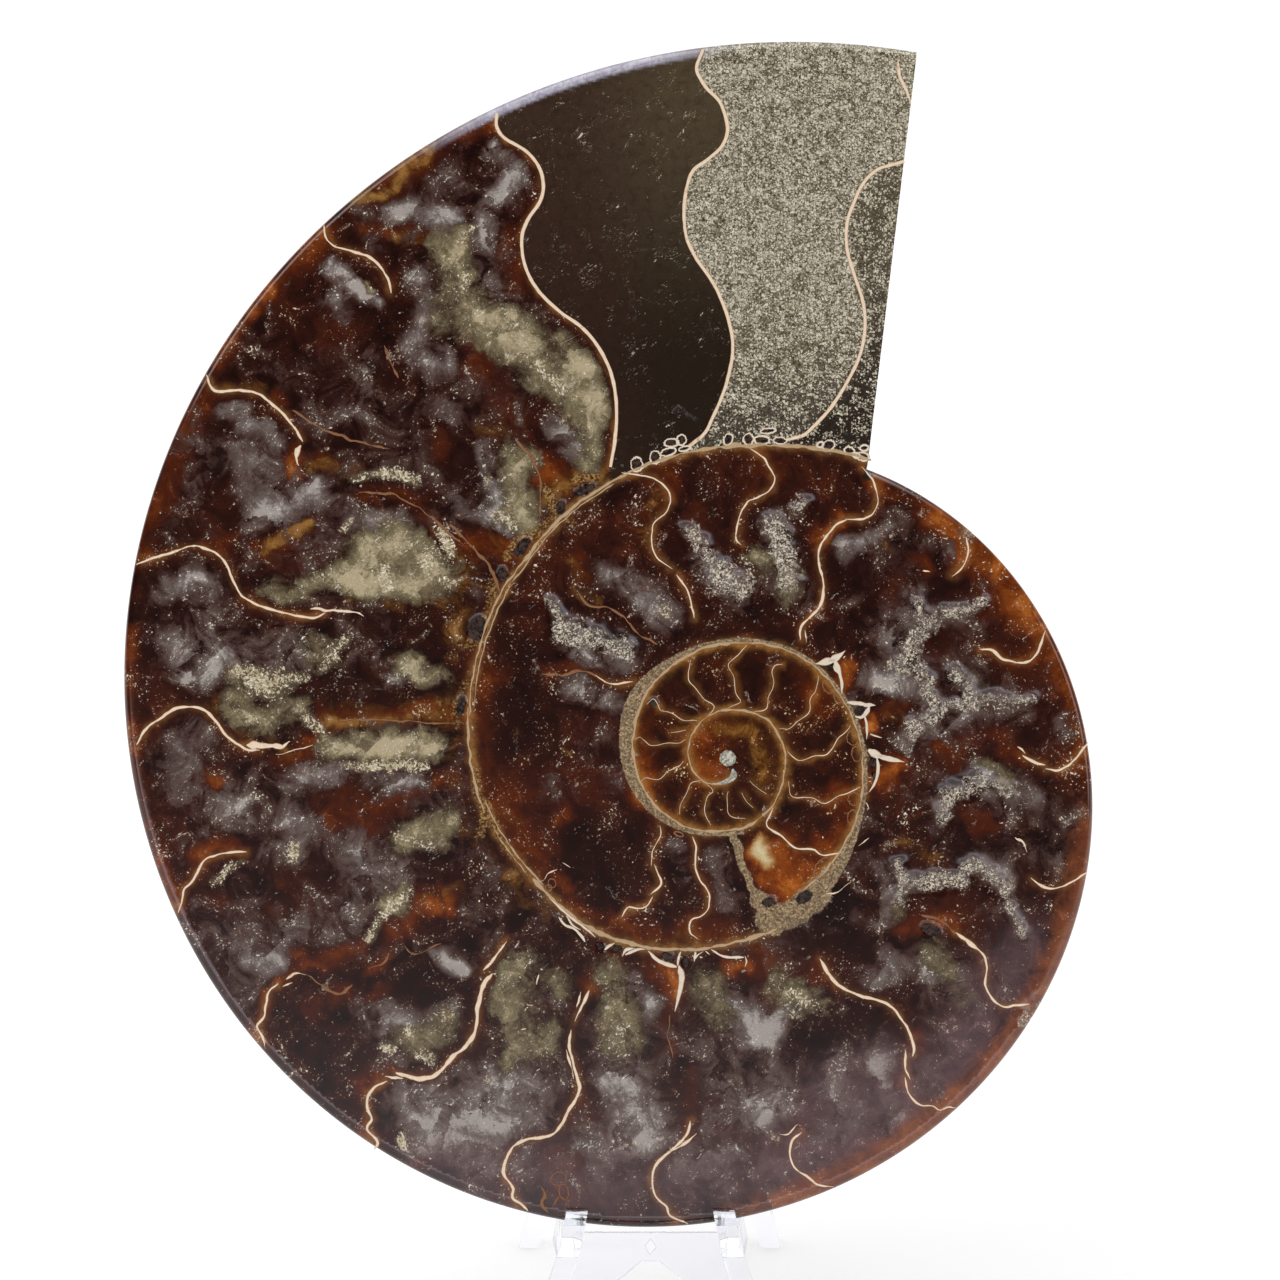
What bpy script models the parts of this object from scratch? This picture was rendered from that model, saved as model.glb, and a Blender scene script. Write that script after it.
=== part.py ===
"""Ammonite half, sawn along its middle plane, leaning on a clear moulded easel.

Metres, +Z up. The sawn face looks towards -Y and leans back. The fossil's own origin is the pole of
its growth spiral, with X across the face, Z up it and Y into the stone. The easel's own origin is on
the table below the corner where the face meets the seat, midway between its two side frames.
Both hang on one empty, which brings the middle of the whole object's footprint to the world's origin.
"""

import math

import bmesh
import bpy
from mathutils import Matrix, Vector

# ---- driving dimensions -------------------------------------------------------------------------

LEAN = math.radians(12.0)           # how far the sawn face leans back
GAP = 0.0003                        # clearance where the fossil touches its easel

# growth spiral: angles run clockwise from +X, as the shell grew
VENTER_RADIUS = 0.0575              # outer radius at angle 0, in the last whorl
GROWTH = 0.1328                     # growth of the radius' logarithm for each radian
DRIFT = 0.042                       # share by which one side of the shell is leaner
DRIFT_ANGLE = math.radians(20.5)    # the side on which it is leanest
MOUTH_OUTER = math.radians(285.0)   # where the saw cut across the mouth meets the venter
MOUTH_INNER = math.radians(295.6)   # where it meets the whorl before
MOUTH_NOTCH = 0.0004                # the cut stops this far off the whorl before

# whorl section
HALF_BREADTH = 0.24                 # deepest point of a flank, for each unit of outer radius
UMBILICUS = 0.20                    # umbilical shoulder, for each unit of outer radius
FLANK_POWER = 2.2                   # how late the flank starts to fall towards the venter
VENTER_POWER = 0.62                 # how round the venter is
RIM = 0.0012                        # rounding of the polished edge round the sawn face
PLUG_DEPTH = 0.005                  # stone left over the innermost whorls, in the umbilicus

# easel
SEAT_HEIGHT = 0.026                 # corner between seat and prongs, above the table
PRONG_SPACING = 0.0234              # between the middles of the two prongs
PRONG_CENTRE = -0.0116              # middle of the easel, from the spiral's pole
FRAME_THICKNESS = 0.0033            # side frames and their prongs, across
PRONG_RISE = 0.0025                 # prong above the seat
PRONG_DEPTH = 0.0032                # prong, front to back
TOE = 0.0006                        # front legs stand this far out from the prongs
SPLAY = math.radians(11.0)          # side frames lean together towards the top
FOOT_SPACING = 0.0400               # between the middles of the two front or rear feet
BACKREST = 0.054                    # length of the backrest above the seat
LIMB = 0.0048                       # width of the side frames' limbs
FRONT_FOOT = -0.0095                # front of the front feet, from the face
REAR_FOOT = 0.074                   # back of the rear feet, from the face
WEB = 0.0024                        # thickness of the plates between the side frames
EDGE = 0.0005                       # rounding of the moulded edges
APRON_DROP = 0.0044                 # top of the notch in the front plate, below the seat
NOTCH_FLAT = 0.0027                 # width of the notch's flat top
NOTCH_SLOPE = math.radians(51.0)    # sides of the notches, from the vertical

# ---- how finely the curves are divided ----------------------------------------------------------

WHORL_SPOKES = 92
MOUTH_STEPS = (0.03, 0.09, 0.18, 0.32, 0.48, 0.65, 0.83, 1.0)
FLANK_STEPS = 13
RIM_STEPS = 3
CORE_RADIUS = 0.003                 # inside this the sections meet; the umbilicus removes it
FUNNEL_SIDES = 56


# ---- scene --------------------------------------------------------------------------------------

def clear_scene():
    for old in list(bpy.data.objects):
        bpy.data.objects.remove(old, do_unlink=True)


def collection(name):
    made = bpy.data.collections.new(name)
    bpy.context.scene.collection.children.link(made)
    return made


def material(name, colour, roughness, transmission=0.0, ior=1.5):
    made = bpy.data.materials.new(name)
    made.use_nodes = True
    shader = made.node_tree.nodes["Principled BSDF"]
    shader.inputs["Base Color"].default_value = (*colour, 1.0)
    shader.inputs["Roughness"].default_value = roughness
    shader.inputs["Metallic"].default_value = 0.0
    shader.inputs["Transmission Weight"].default_value = transmission
    shader.inputs["IOR"].default_value = ior
    return made


def mesh_object(name, bm, home):
    mesh = bpy.data.meshes.new(name)
    bmesh.ops.recalc_face_normals(bm, faces=bm.faces)
    bm.to_mesh(mesh)
    bm.free()
    made = bpy.data.objects.new(name, mesh)
    home.objects.link(made)
    return made


def as_cutter(obj):
    obj.hide_render = True
    obj.display_type = "WIRE"
    return obj


def boolean(target, other, operation):
    step = target.modifiers.new(f"{operation.lower()}_{other.name}", "BOOLEAN")
    step.operation = operation
    step.solver = "EXACT"
    step.object = other


def smooth(obj, angle):
    obj.data.shade_smooth()
    obj.data.set_sharp_from_angle(angle=angle)


# ---- growth spiral and whorl section -----------------------------------------------------------

def venter_radius(angle):
    """Outer radius of the shell at a growth angle."""
    return VENTER_RADIUS * math.exp(GROWTH * angle - DRIFT * math.cos(angle - DRIFT_ANGLE))


def on_face(angle, radius):
    """Place on the sawn face, as (x, z)."""
    return radius * math.cos(angle), -radius * math.sin(angle)


def mouth_radius(angle):
    """Radius of the straight saw cut across the mouth, at an angle between its two ends."""
    x0, z0 = on_face(MOUTH_OUTER, venter_radius(MOUTH_OUTER))
    x1, z1 = on_face(MOUTH_INNER, venter_radius(MOUTH_INNER - math.tau) + MOUTH_NOTCH)
    ray_x, ray_z = on_face(angle, 1.0)
    return (x0 * z1 - x1 * z0) / (ray_x * (z1 - z0) - ray_z * (x1 - x0))


def flank_depth(angle, radius):
    """Depth of the shell's natural side behind the sawn face."""
    outer = venter_radius(angle)
    shoulder = UMBILICUS * outer
    across = min(max((radius - shoulder) / (outer - shoulder), 0.0), 1.0)
    return RIM + HALF_BREADTH * outer * (1.0 - across ** FLANK_POWER) ** VENTER_POWER


def stone_depth(x, z):
    """Depth of the stone behind a place on the sawn face."""
    angle = math.atan2(-z, x)
    if angle < MOUTH_INNER - math.tau:
        angle += math.tau
    radius = math.hypot(x, z)
    return flank_depth(angle, radius) if radius < venter_radius(angle) else 0.0


# ---- fossil -------------------------------------------------------------------------------------

def section_angles():
    """Growth angles of the sections: even along the whorl, then across the cut mouth."""
    start = MOUTH_INNER - math.tau
    whorl = [start + (MOUTH_OUTER - start) * i / WHORL_SPOKES for i in range(WHORL_SPOKES + 1)]
    return whorl + [MOUTH_OUTER + (MOUTH_INNER - MOUTH_OUTER) * f for f in MOUTH_STEPS]


def section(angle):
    """One section, from the sawn face over the venter and flank to the core, as (radius, depth)."""
    cut = angle > MOUTH_OUTER
    outer = mouth_radius(angle) if cut else venter_radius(angle)
    if cut:
        top = flank_depth(angle, outer)
        edge = [(outer, top * i / RIM_STEPS) for i in range(RIM_STEPS)]
    else:
        turns = [math.pi / 2 * i / RIM_STEPS for i in range(RIM_STEPS)]
        edge = [(outer - RIM * (1.0 - math.sin(t)), RIM * (1.0 - math.cos(t))) for t in turns]
    shoulder = UMBILICUS * venter_radius(angle)
    shares = [(i / FLANK_STEPS) ** 1.9 for i in range(FLANK_STEPS + 1)]
    radii = [outer + (shoulder - outer) * share for share in shares] + [CORE_RADIUS]
    return edge + [(radius, flank_depth(angle, radius)) for radius in radii]


def whorl_body(name, home):
    """The half shell before its umbilicus is opened: sections lofted once round the spiral."""
    bm = bmesh.new()
    rows = []
    for angle in section_angles():
        row = []
        for radius, depth in section(angle):
            x, z = on_face(angle, radius)
            row.append(bm.verts.new((x, depth, z)))
        rows.append(row)
    core = bm.verts.new((0.0, PLUG_DEPTH + GAP, 0.0))
    for row, following in zip(rows, rows[1:]):
        for i in range(len(row) - 1):
            bm.faces.new((row[i], row[i + 1], following[i + 1], following[i]))
        bm.faces.new((row[-1], core, following[-1]))
    bm.faces.new([row[0] for row in rows])
    bm.faces.new(rows[-1] + [core] + rows[0][::-1])
    return mesh_object(name, bm, home)


def umbilicus_cutter(home):
    """Funnel through every umbilical shoulder, closed above the innermost whorls."""
    slope = HALF_BREADTH / UMBILICUS
    mouth = UMBILICUS * venter_radius(MOUTH_INNER) * 1.25
    floor = (PLUG_DEPTH - RIM + GAP) / slope
    bm = bmesh.new()
    bmesh.ops.create_cone(bm, cap_ends=True, segments=FUNNEL_SIDES, radius1=floor, radius2=mouth,
                          depth=(mouth - floor) * slope)
    funnel = mesh_object("umbilicus_cutter", bm, home)
    funnel.rotation_euler.x = -math.pi / 2
    funnel.location.y = PLUG_DEPTH + (mouth - floor) * slope / 2
    return as_cutter(funnel)


def ammonite(home, cutters):
    half = whorl_body("ammonite_half", home)
    half.rotation_euler.x = -LEAN
    funnel = umbilicus_cutter(cutters)
    funnel.parent = half
    boolean(half, funnel, "DIFFERENCE")
    smooth(half, math.radians(35.0))
    half.data.materials.append(material("polished_fossil", (0.16, 0.07, 0.04), 0.18))
    return half


# ---- easel --------------------------------------------------------------------------------------
# Its side views are drawn as (y, z) with y = 0 at the face's lower edge and z = 0 on the table.

def leaning(depth, rise):
    """Point of the side view, from depth behind the face and rise along it, from the seat's corner."""
    return (depth * math.cos(LEAN) + rise * math.sin(LEAN),
            SEAT_HEIGHT - depth * math.sin(LEAN) + rise * math.cos(LEAN))


def backrest_depth():
    """Depth of the backrest's front edges: the fossil's deepest place in front of them, and a gap."""
    deepest = 0.0
    steps = 60
    for i in range(steps + 1):
        rise = BACKREST * i / steps
        half_spacing = frame_offset(leaning(0.0, rise)[1]) + FRAME_THICKNESS / 2
        for x in (PRONG_CENTRE - half_spacing, PRONG_CENTRE, PRONG_CENTRE + half_spacing):
            deepest = max(deepest, stone_depth(x, seat_level() + rise))
    return deepest + 2 * GAP


def seat_level():
    """Height of the seat on the sawn face, from the spiral's pole: just below both rests."""
    lowest = 0.0
    for side in (-1, 1):
        for edge in (-1, 0, 1):
            x = PRONG_CENTRE + side * PRONG_SPACING / 2 + edge * FRAME_THICKNESS / 2
            angle = math.pi / 2
            for _ in range(20):
                angle = math.acos(x / venter_radius(angle))
            lowest = min(lowest, on_face(angle, venter_radius(angle))[1])
    return lowest - GAP


def frame_offset(height):
    """Distance of a side frame's corner from the easel's middle plane, at its height."""
    if height <= 0.0:
        return FOOT_SPACING / 2
    return PRONG_SPACING / 2 + (SEAT_HEIGHT - height) * math.tan(SPLAY)


def prism(name, outline, thickness, home):
    """Flat outline of (a, b) points, thickened evenly about its own plane."""
    bm = bmesh.new()
    face = bm.faces.new([bm.verts.new((a, b, -thickness / 2)) for a, b in outline])
    grown = bmesh.ops.extrude_face_region(bm, geom=[face])
    lifted = [item for item in grown["geom"] if isinstance(item, bmesh.types.BMVert)]
    bmesh.ops.translate(bm, verts=lifted, vec=(0.0, 0.0, thickness))
    return mesh_object(name, bm, home)


def arc(centre, radius, start, end, steps):
    """Points along an arc of a side view, angles in degrees from +y towards +z."""
    turns = [math.radians(start + (end - start) * i / steps) for i in range(steps + 1)]
    return [(centre[0] + radius * math.cos(t), centre[1] + radius * math.sin(t)) for t in turns]


def side_outline():
    """Side frame as seen from +X: prong, seat and backrest, with a front and a rear leg."""
    back = backrest_depth()
    lean = math.degrees(LEAN)
    prong = arc(leaning(-PRONG_DEPTH / 2, PRONG_RISE - PRONG_DEPTH / 2), PRONG_DEPTH / 2,
                -lean, 180.0 - lean, 8)
    top = arc(leaning(back + LIMB / 2, BACKREST - LIMB / 2), LIMB / 2, 180.0 - lean, -lean, 8)
    return ([leaning(0.0, 0.0)] + prong
            + [leaning(-PRONG_DEPTH - TOE, -0.003), (FRONT_FOOT, 0.0), (FRONT_FOOT + LIMB, 0.0)]
            + [leaning(0.0025, -LIMB), leaning(back + LIMB, -LIMB)]
            + [leaning(back + LIMB, BACKREST - 3.2 * LIMB)]
            + [(REAR_FOOT - LIMB, 0.0), (REAR_FOOT, 0.0)]
            + top[::-1] + [leaning(back, 0.0)])


def side_frame(side, home):
    """One side frame, its corners moved so that both lean together upwards and stand wide."""
    frame = prism(f"side_frame_{'left' if side < 0 else 'right'}", side_outline(), FRAME_THICKNESS, home)
    upright = Matrix(((0, 0, 1, 0), (1, 0, 0, 0), (0, 1, 0, 0), (0, 0, 0, 1)))
    frame.data.transform(upright)
    for vertex in frame.data.vertices:
        vertex.co.x += side * frame_offset(vertex.co.z)
    return frame


def bridge(name, limb, start, home):
    """Plate across a pair of limbs, notched up its middle.

    limb gives its two ends in the side view, the upper one first, and start how far down it the
    plate's upper edge lies, as a share.
    """
    ends = [Vector((frame_offset(z), y, z)) for y, z in limb]
    upper = ends[0].lerp(ends[1], start)
    along = (ends[0] - ends[1]).yz
    widening = (ends[1].x - ends[0].x) / along.length
    slope = math.tan(NOTCH_SLOPE)
    peak = -APRON_DROP
    width = upper.x
    foot = (width - NOTCH_FLAT / 2 - peak * slope) / (widening - slope)
    wide = width - foot * widening
    outline = [(-width, 0.0), (width, 0.0), (wide, foot), (NOTCH_FLAT / 2, peak),
               (-NOTCH_FLAT / 2, peak), (-wide, foot)]
    plate = prism(name, outline[::-1], WEB, home)
    plate.rotation_euler.x = math.atan2(along.y, along.x)
    plate.location = (0.0, *upper.yz)
    return plate


def diamond_cutter(plate, home):
    """Small diamond hole in a plate, just above its notch."""
    middle = -APRON_DROP / 2
    outline = [(0.0009, middle), (0.0, middle + 0.0012), (-0.0009, middle), (0.0, middle - 0.0012)]
    hole = prism("diamond_cutter", outline, WEB * 3, home)
    hole.rotation_euler = plate.rotation_euler
    hole.location = plate.location
    return as_cutter(hole)


def easel(home, cutters):
    frame = side_frame(-1, home)
    frame.name = "easel"
    inset = LIMB / 2
    upright = backrest_depth() + inset
    crown = leaning(upright, BACKREST - LIMB)
    front_leg = (leaning(inset - PRONG_DEPTH - TOE, -0.0008), (FRONT_FOOT + inset, 0.0))
    backrest = (crown, leaning(upright, 0.0))
    rear_leg = (crown, (REAR_FOOT - inset, 0.0))
    apron = bridge("apron", front_leg, 0.0, cutters)
    chair_back = bridge("chair_back", backrest, 0.12, cutters)
    brace = bridge("rear_brace", rear_leg, 0.38, cutters)
    for other in (side_frame(1, cutters), apron, chair_back, brace):
        boolean(frame, as_cutter(other), "UNION")
    boolean(frame, diamond_cutter(apron, cutters), "DIFFERENCE")
    rounding = frame.modifiers.new("moulded_edges", "BEVEL")
    rounding.width = EDGE
    rounding.segments = 2
    rounding.limit_method = "ANGLE"
    rounding.angle_limit = math.radians(40.0)
    smooth(frame, math.radians(30.0))
    clear = material("clear_acrylic", (0.95, 0.97, 1.0), 0.05, transmission=1.0, ior=1.49)
    frame.data.materials.append(clear)
    return frame


# ---- assembly -----------------------------------------------------------------------------------

def corners(obj):
    """Vertices of a piece as it is seen, in world space."""
    evaluated = obj.evaluated_get(bpy.context.evaluated_depsgraph_get())
    return [evaluated.matrix_world @ vertex.co for vertex in evaluated.data.vertices]


def centre_footprint(root, pieces):
    """Move everything so that the middle of its footprint is at the origin."""
    bpy.context.view_layer.update()
    points = [point for piece in pieces for point in corners(piece)]
    for axis in (0, 1):
        values = [point[axis] for point in points]
        root.location[axis] = -(min(values) + max(values)) / 2


def main():
    clear_scene()
    home = collection("ammonite_on_easel")
    cutters = collection("cutters")
    root = bpy.data.objects.new("footprint_centre", None)
    home.objects.link(root)
    half = ammonite(home, cutters)
    half.location = (-PRONG_CENTRE, *leaning(GAP, -seat_level()))
    stand = easel(home, cutters)
    for piece in (half, stand, *cutters.objects):
        if piece.parent is None:
            piece.parent = root
    centre_footprint(root, (half, stand))


main()
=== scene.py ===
"""Ammonite half with a polished sawn face, leaning on a clear moulded easel.

Everything on the face is placed in millimetres from the pole of the growth spiral: across to the
right, and up the face. Depths are measured from the sawn face into the stone.
"""

import math

import bmesh
import bpy
import numpy as np
from mathutils import Matrix, Vector
from mathutils.geometry import delaunay_2d_cdt


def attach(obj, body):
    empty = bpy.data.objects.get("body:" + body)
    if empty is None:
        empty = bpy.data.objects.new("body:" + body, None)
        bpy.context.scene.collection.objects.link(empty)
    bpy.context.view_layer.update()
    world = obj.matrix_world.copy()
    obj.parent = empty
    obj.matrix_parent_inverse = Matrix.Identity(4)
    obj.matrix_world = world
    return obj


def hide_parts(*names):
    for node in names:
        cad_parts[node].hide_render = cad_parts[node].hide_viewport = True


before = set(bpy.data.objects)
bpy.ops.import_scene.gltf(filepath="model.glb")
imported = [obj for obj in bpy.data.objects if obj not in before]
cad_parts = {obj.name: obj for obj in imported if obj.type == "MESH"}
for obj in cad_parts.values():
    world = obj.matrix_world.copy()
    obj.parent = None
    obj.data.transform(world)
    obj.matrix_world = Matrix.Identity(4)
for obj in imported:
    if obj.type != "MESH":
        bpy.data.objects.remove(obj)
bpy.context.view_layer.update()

bl_info = {
    "name": "Ammonite on easel",
    "version": (1, 0, 0),
    "blender": (4, 5, 0),
    "location": "3D View > Sidebar > Ammonite",
    "description": "Builds a sawn ammonite half and its easel around the packed frame",
    "category": "Object",
}

MM = 0.001

# ---- growth spiral and whorl section, as in the CAD part, in millimetres ----

VENTER_RADIUS = 57.5  # outer radius at angle 0 of the last whorl
GROWTH = 0.1328  # growth of the radius' logarithm for each radian
DRIFT = 0.042  # share by which one side of the shell is leaner
DRIFT_ANGLE = math.radians(20.5)
MOUTH_OUTER = math.radians(285.0)  # where the saw cut across the mouth meets the venter
MOUTH_INNER = math.radians(295.6)  # where it meets the whorl before
START = MOUTH_INNER - math.tau
HALF_BREADTH = 0.24  # half thickness of a whorl, as a share of its outer radius
UMBILICUS = 0.20  # radius of the umbilicus, as the same share
FLANK_POWER = 2.2  # how flat the flank is, and how blunt the venter
VENTER_POWER = 0.62
RIM = 1.2  # rounding of the polished edge, and thickness of the face slab
PLUG_DEPTH = 5.0  # depth at the very middle
FUNNEL_START = 3.4  # the umbilicus deepens from this radius outwards

# relief and seams of the natural side, on top of the CAD's smooth shape
WHORL_STEP = (0.16, 0.6)  # share by which the umbilicus steps down in a turn, and how suddenly
RIBS = 46.0  # ribs in a turn, and the coarser furrows of growth
FURROWS = 13.0
FURROW_DEPTH = 0.008  # as a share of the outer radius
SEAMS = 20.0  # chamber seams in a turn of the natural side
LAST_SEAM = (math.radians(250.0), math.radians(244.0))  # they end here, at the living chamber

# wall between the whorls, unwound inwards from the mouth: angle in degrees, radius
WALL = (
    (-64.2, 50.9), (-82, 48.6), (-107, 46.6), (-126, 44.7), (-135, 43.4), (-144, 42.7), (-166, 40.1),
    (-189, 37.7), (-211, 34.4), (-234, 32.6), (-256, 29.5), (-274, 27.3), (-287, 26.4), (-300, 22.7),
    (-330, 21.7), (-359, 20.7), (-395, 19.8), (-416, 19.4), (-452, 17.9), (-495, 16.3), (-535, 14.3),
    (-573, 12.7), (-620, 10.7), (-646, 10.3), (-707, 8.9), (-763, 8.9), (-802, 8), (-836, 7.5),
    (-868, 6.6), (-906, 5.5), (-940, 4.7), (-983, 3.2), (-1008, 2.45),
)

# ---- lines of shell: points across and up the face, as x,y pairs ----

LAST_SEPTUM = (
    -35,98.6, -35,96.6, -33.8,94.8, -30.5,92.8, -28.5,90.3, -27.9,87.5, -28.5,85, -30.3,82.3, -31.2,79.5,
    -30.7,75.5, -28.8,71.8, -25.5,68.5, -22,66, -19.5,63, -17.6,59, -16.8,54.5, -17,49, -17.7,44.8,
)
LIVING_INNER = (
    -3.6,108.3, -4.6,105.3, -3.2,102.6, -1,100.2, 0.1,96.6, -0.6,93.8, -3,91.5, -5.3,89.6, -6.4,85.5,
    -6.3,80.5, -4.8,76.8, -1.8,72.3, 0.3,67, 0.9,62.5, -0.2,57, -2.3,52, -3.5,49.8, -5.7,48,
)
LIVING_OUTER = (
    27,91.3, 25,90.7, 22.8,90, 20.8,88, 19.3,85, 18.3,82, 18.2,78.5, 19.2,74.5, 20.7,70, 21,66, 20.3,62,
    18.6,58.3, 16.3,54.5, 14,51.8, 11.7,49.7, 9,48.9,
)

# walls between the chambers: width, then the line; the first few are whole, the others ragged
WHOLE_WALLS = 3
SEPTA = (
    (0.55, *LAST_SEPTUM), (0.55, *LIVING_INNER), (0.55, *LIVING_OUTER),
    (0.6, 26,107, 26.2,104.5, 27,102.5, 28,100.2),
    (0.5, -61.2,81.6, -60.9,79.6, -59.7,78.4, -57,77.6, -54.5,76.8, -52.6,75.2, -51.3,73, -51,71.2),
    (0.5, -79.2,58.8, -78.3,56.8, -77,56.3, -74,56.5, -71.3,56, -69,54.3, -67.2,52.6, -65.6,50.6,
     -64.4,48.7),
    (0.5, -89.7,30, -87,31, -84.3,31.8, -82,32.7, -80,32.6, -77.5,31.6, -75.9,29.8, -75,27.5, -73.8,25.3,
     -71.7,24, -69,23.1, -66,22.3, -63,21.9, -61,22.6),
    (0.5, -89.7,2.6, -88.3,5, -86,6.6, -84,8, -81.5,8.3, -79.5,7.8, -77.8,6.2, -76.3,4.2, -75,3, -73,1.9,
     -71,1.7),
    (0.45, -83.4,-23, -82.8,-20.7, -82.5,-19.3, -81.3,-18.2, -80.4,-16.6, -79.3,-15, -77.8,-14.2,
     -75.5,-13.8, -73,-13.7),
    (0.45, -70.3,-43.3, -70.5,-42, -71.4,-40.2, -70.3,-38.8, -70.1,-36.8, -69.6,-35, -68.2,-33.7),
    (0.6, -33.5,-27.3, -35.6,-30.2, -37,-31.8),
    (0.85, -35.7,-32.2, -37,-34, -37.8,-37, -38.2,-40.5, -39.4,-43, -41.5,-44.8, -43.2,-46.7, -45,-48,
     -47.5,-48.1, -50.3,-47.3),
    (0.5, -51.6,-48.6, -53.5,-49.5, -54.6,-50.8, -54.7,-52.5, -54,-54.3, -54.7,-55.9, -53.3,-57.3,
     -53,-58.2, -53.6,-59),
    (0.55, -20.9,-34.8, -22,-37, -23.1,-39.5),
    (0.6, -23.6,-40.8, -24,-43, -23.3,-46, -22.6,-48.5, -22.5,-50.3, -24,-53, -25.2,-55.3, -27,-56.9,
     -30.5,-57.5, -32.5,-58.6, -33.7,-60.7, -33.9,-62.8, -32.6,-64.7, -32.5,-66.3, -31.2,-67.3,
     -30.2,-68.3),
    (0.5, -5.5,-54.6, -6.3,-57, -8.8,-59.5, -10.8,-61.3, -11.4,-64, -10.8,-66.2, -9.2,-67.6, -8.6,-69,
     -6,-70.2),
    (0.4, 11.4,-56.4, 10,-57.6, 9.6,-59.5, 10,-61.3, 11,-62.4, 12.7,-63.4, 13.8,-64.2, 16.2,-64.6),
    (0.6, 14.1,-30, 15.2,-31.8, 17,-34, 19.5,-35.3, 22,-36, 24.5,-36.9, 26.5,-39, 27.7,-41.2, 28.4,-43.2,
     28.2,-44.8),
    (0.45, 27.2,-43.9, 27.2,-46.5, 27.9,-48.3),
    (0.4, 27,-48, 27.5,-50, 28.5,-51.6, 29.6,-52.3, 31.3,-52.3, 32.3,-53, 33.6,-52.6, 34.8,-52.6),
    (0.7, 34.8,-26, 36.5,-27.3, 38.3,-28.6),
    (0.45, 37.6,-28.2, 39,-29.4, 39.5,-31.5, 39.2,-33.8, 40,-35.5, 41.2,-36.8, 42.5,-37.3, 44,-37,
     46,-36.9),
    (0.45, 54.8,-16.7, 52.5,-18.3, 50,-19.3, 48,-19, 46.2,-17.7),
    (0.45, 54.8,3, 53.5,1, 52,-0.5, 50,-1.3, 48.5,-1), (0.5, 48.4,-0.5, 46.8,-0.2, 45,1),
    (0.45, 48.5,20, 47.8,18, 46.8,16, 45.5,15.2, 43.8,15), (0.6, 44,15.1, 42,15.6, 40.2,16.9, 38.4,17.1),
    (0.35, 36.3,34.2, 36.7,32.5, 36.5,30.8, 35.8,29.5, 34.2,28.2),
    (0.35, 20.5,44.8, 22,43, 22.8,40.8, 22.9,39.3, 22,37.6, 20.5,36.9, 18,36.8),
    (0.5, 18.2,36.8, 16.5,35.9, 15,34, 14.1,32.2, 14.1,30, 14.7,27, 14.6,25, 13.9,23.3, 12,21.3,
     11.2,20.2, 11.2,18.5),
    (0.35, 3.5,47.6, 5.5,46.3, 6.3,44.8, 7.3,43.2, 6.6,41.3, 5,40.3, 3.3,39.6, 2.3,38.3, 1.8,36.5,
     1.4,34.5, 1.6,33.5, 2.2,33),
    (0.3, -16,44, -14,43.7, -12,43.3, -10.5,42.8, -9.5,41.8, -8.7,40.8, -8.6,39.3, -9.5,37.6, -11,36.5,
     -11.4,35, -11.3,32.5, -10.3,30.8, -8.3,29.3),
    (0.35, -7.7,28.4, -6.3,26.5, -5.3,23.8, -5,21.8),
    (0.3, -20,13.2, -18.5,12.2, -16.8,11.8, -14.3,12.2),
    (0.35, -10.2,-9.7, -10.1,-11.5, -11.3,-13.5, -11.4,-15.8),
    (0.35, -11,-15.6, -10.3,-17.3, -10.1,-18.8, -11.5,-20.2),
    (0.35, -11.3,-20.5, -12.2,-22, -13.5,-22.3, -15,-22.1, -16,-23.6),
    (0.3, -5.2,-11.4, -4.7,-13, -4.8,-16, -4,-18, -2.7,-20, -2.9,-22.4, -4,-23.5, -5.4,-24.1, -5.6,-26,
     -4.4,-27),
    (0.26, -5.5,15.5, -5.9,12.6, -4.6,11, -3.4,9.4, -1.9,8.4, -2.8,7.1),
    (0.24, 3,17.7, 1.8,16.3, 0.2,14.8, 1,13, 1.4,10.5, 2.1,9.1, 0.3,8.2),
    (0.24, 8.5,14.8, 7.2,14.6, 6.8,13.5, 7.2,11.8, 6.3,9.8, 6,8, 4.2,7.6),
    (0.26, 14,13, 13.6,11, 12.8,9.7, 12.5,7.4, 10.8,6.2, 9.5,5, 8,5.1),
    (0.3, 18.8,5.5, 17.8,4.2, 16.8,3.4, 15.3,1.1, 13.3,0.9, 11,0.1, 9.2,1.5),
    (0.3, 20.3,-3.8, 18.3,-4.8, 16.8,-5.2, 15,-6.4, 12.8,-5.5, 10,-5.3, 9.3,-3),
    (0.35, 17.5,-13.8, 14.5,-14.2, 13.2,-13.3, 10.5,-13.1, 8,-11, 6,-9.7, 7,-7),
    (0.22, -12.2,8.7, -11.2,9.6, -10.4,8.7, -10,7.8, -8.3,7.3, -6.8,6.4, -4.5,6.3),
    (0.2, -13.9,3.3, -13.2,3.8, -12.5,3.2, -11.3,2.5, -9,2.8, -7.3,2.8, -6.3,3.4),
    (0.16, -8.5,4.4, -6.2,4.8), (0.22, -13,-3, -12.2,-2.4, -10.3,-2.7, -9,-1.5, -7.2,-0.6, -6.6,0.1),
    (0.2, -7.2,-8, -7,-6.5, -6.2,-5, -5.4,-3.2, -4,-2.9),
    (0.2, -2.4,-9.6, -3.4,-7.7, -3,-5.5, -2,-4.5, -3,-3.5), (0.16, 2.8,-8.7, 0.5,-8.2, 0,-6.5, 0.2,-4.5),
    (0.16, 4,-7, 3,-6, 2.3,-4.7), (0.16, 6,-5, 4.5,-4, 3.5,-2.9),
)

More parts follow.
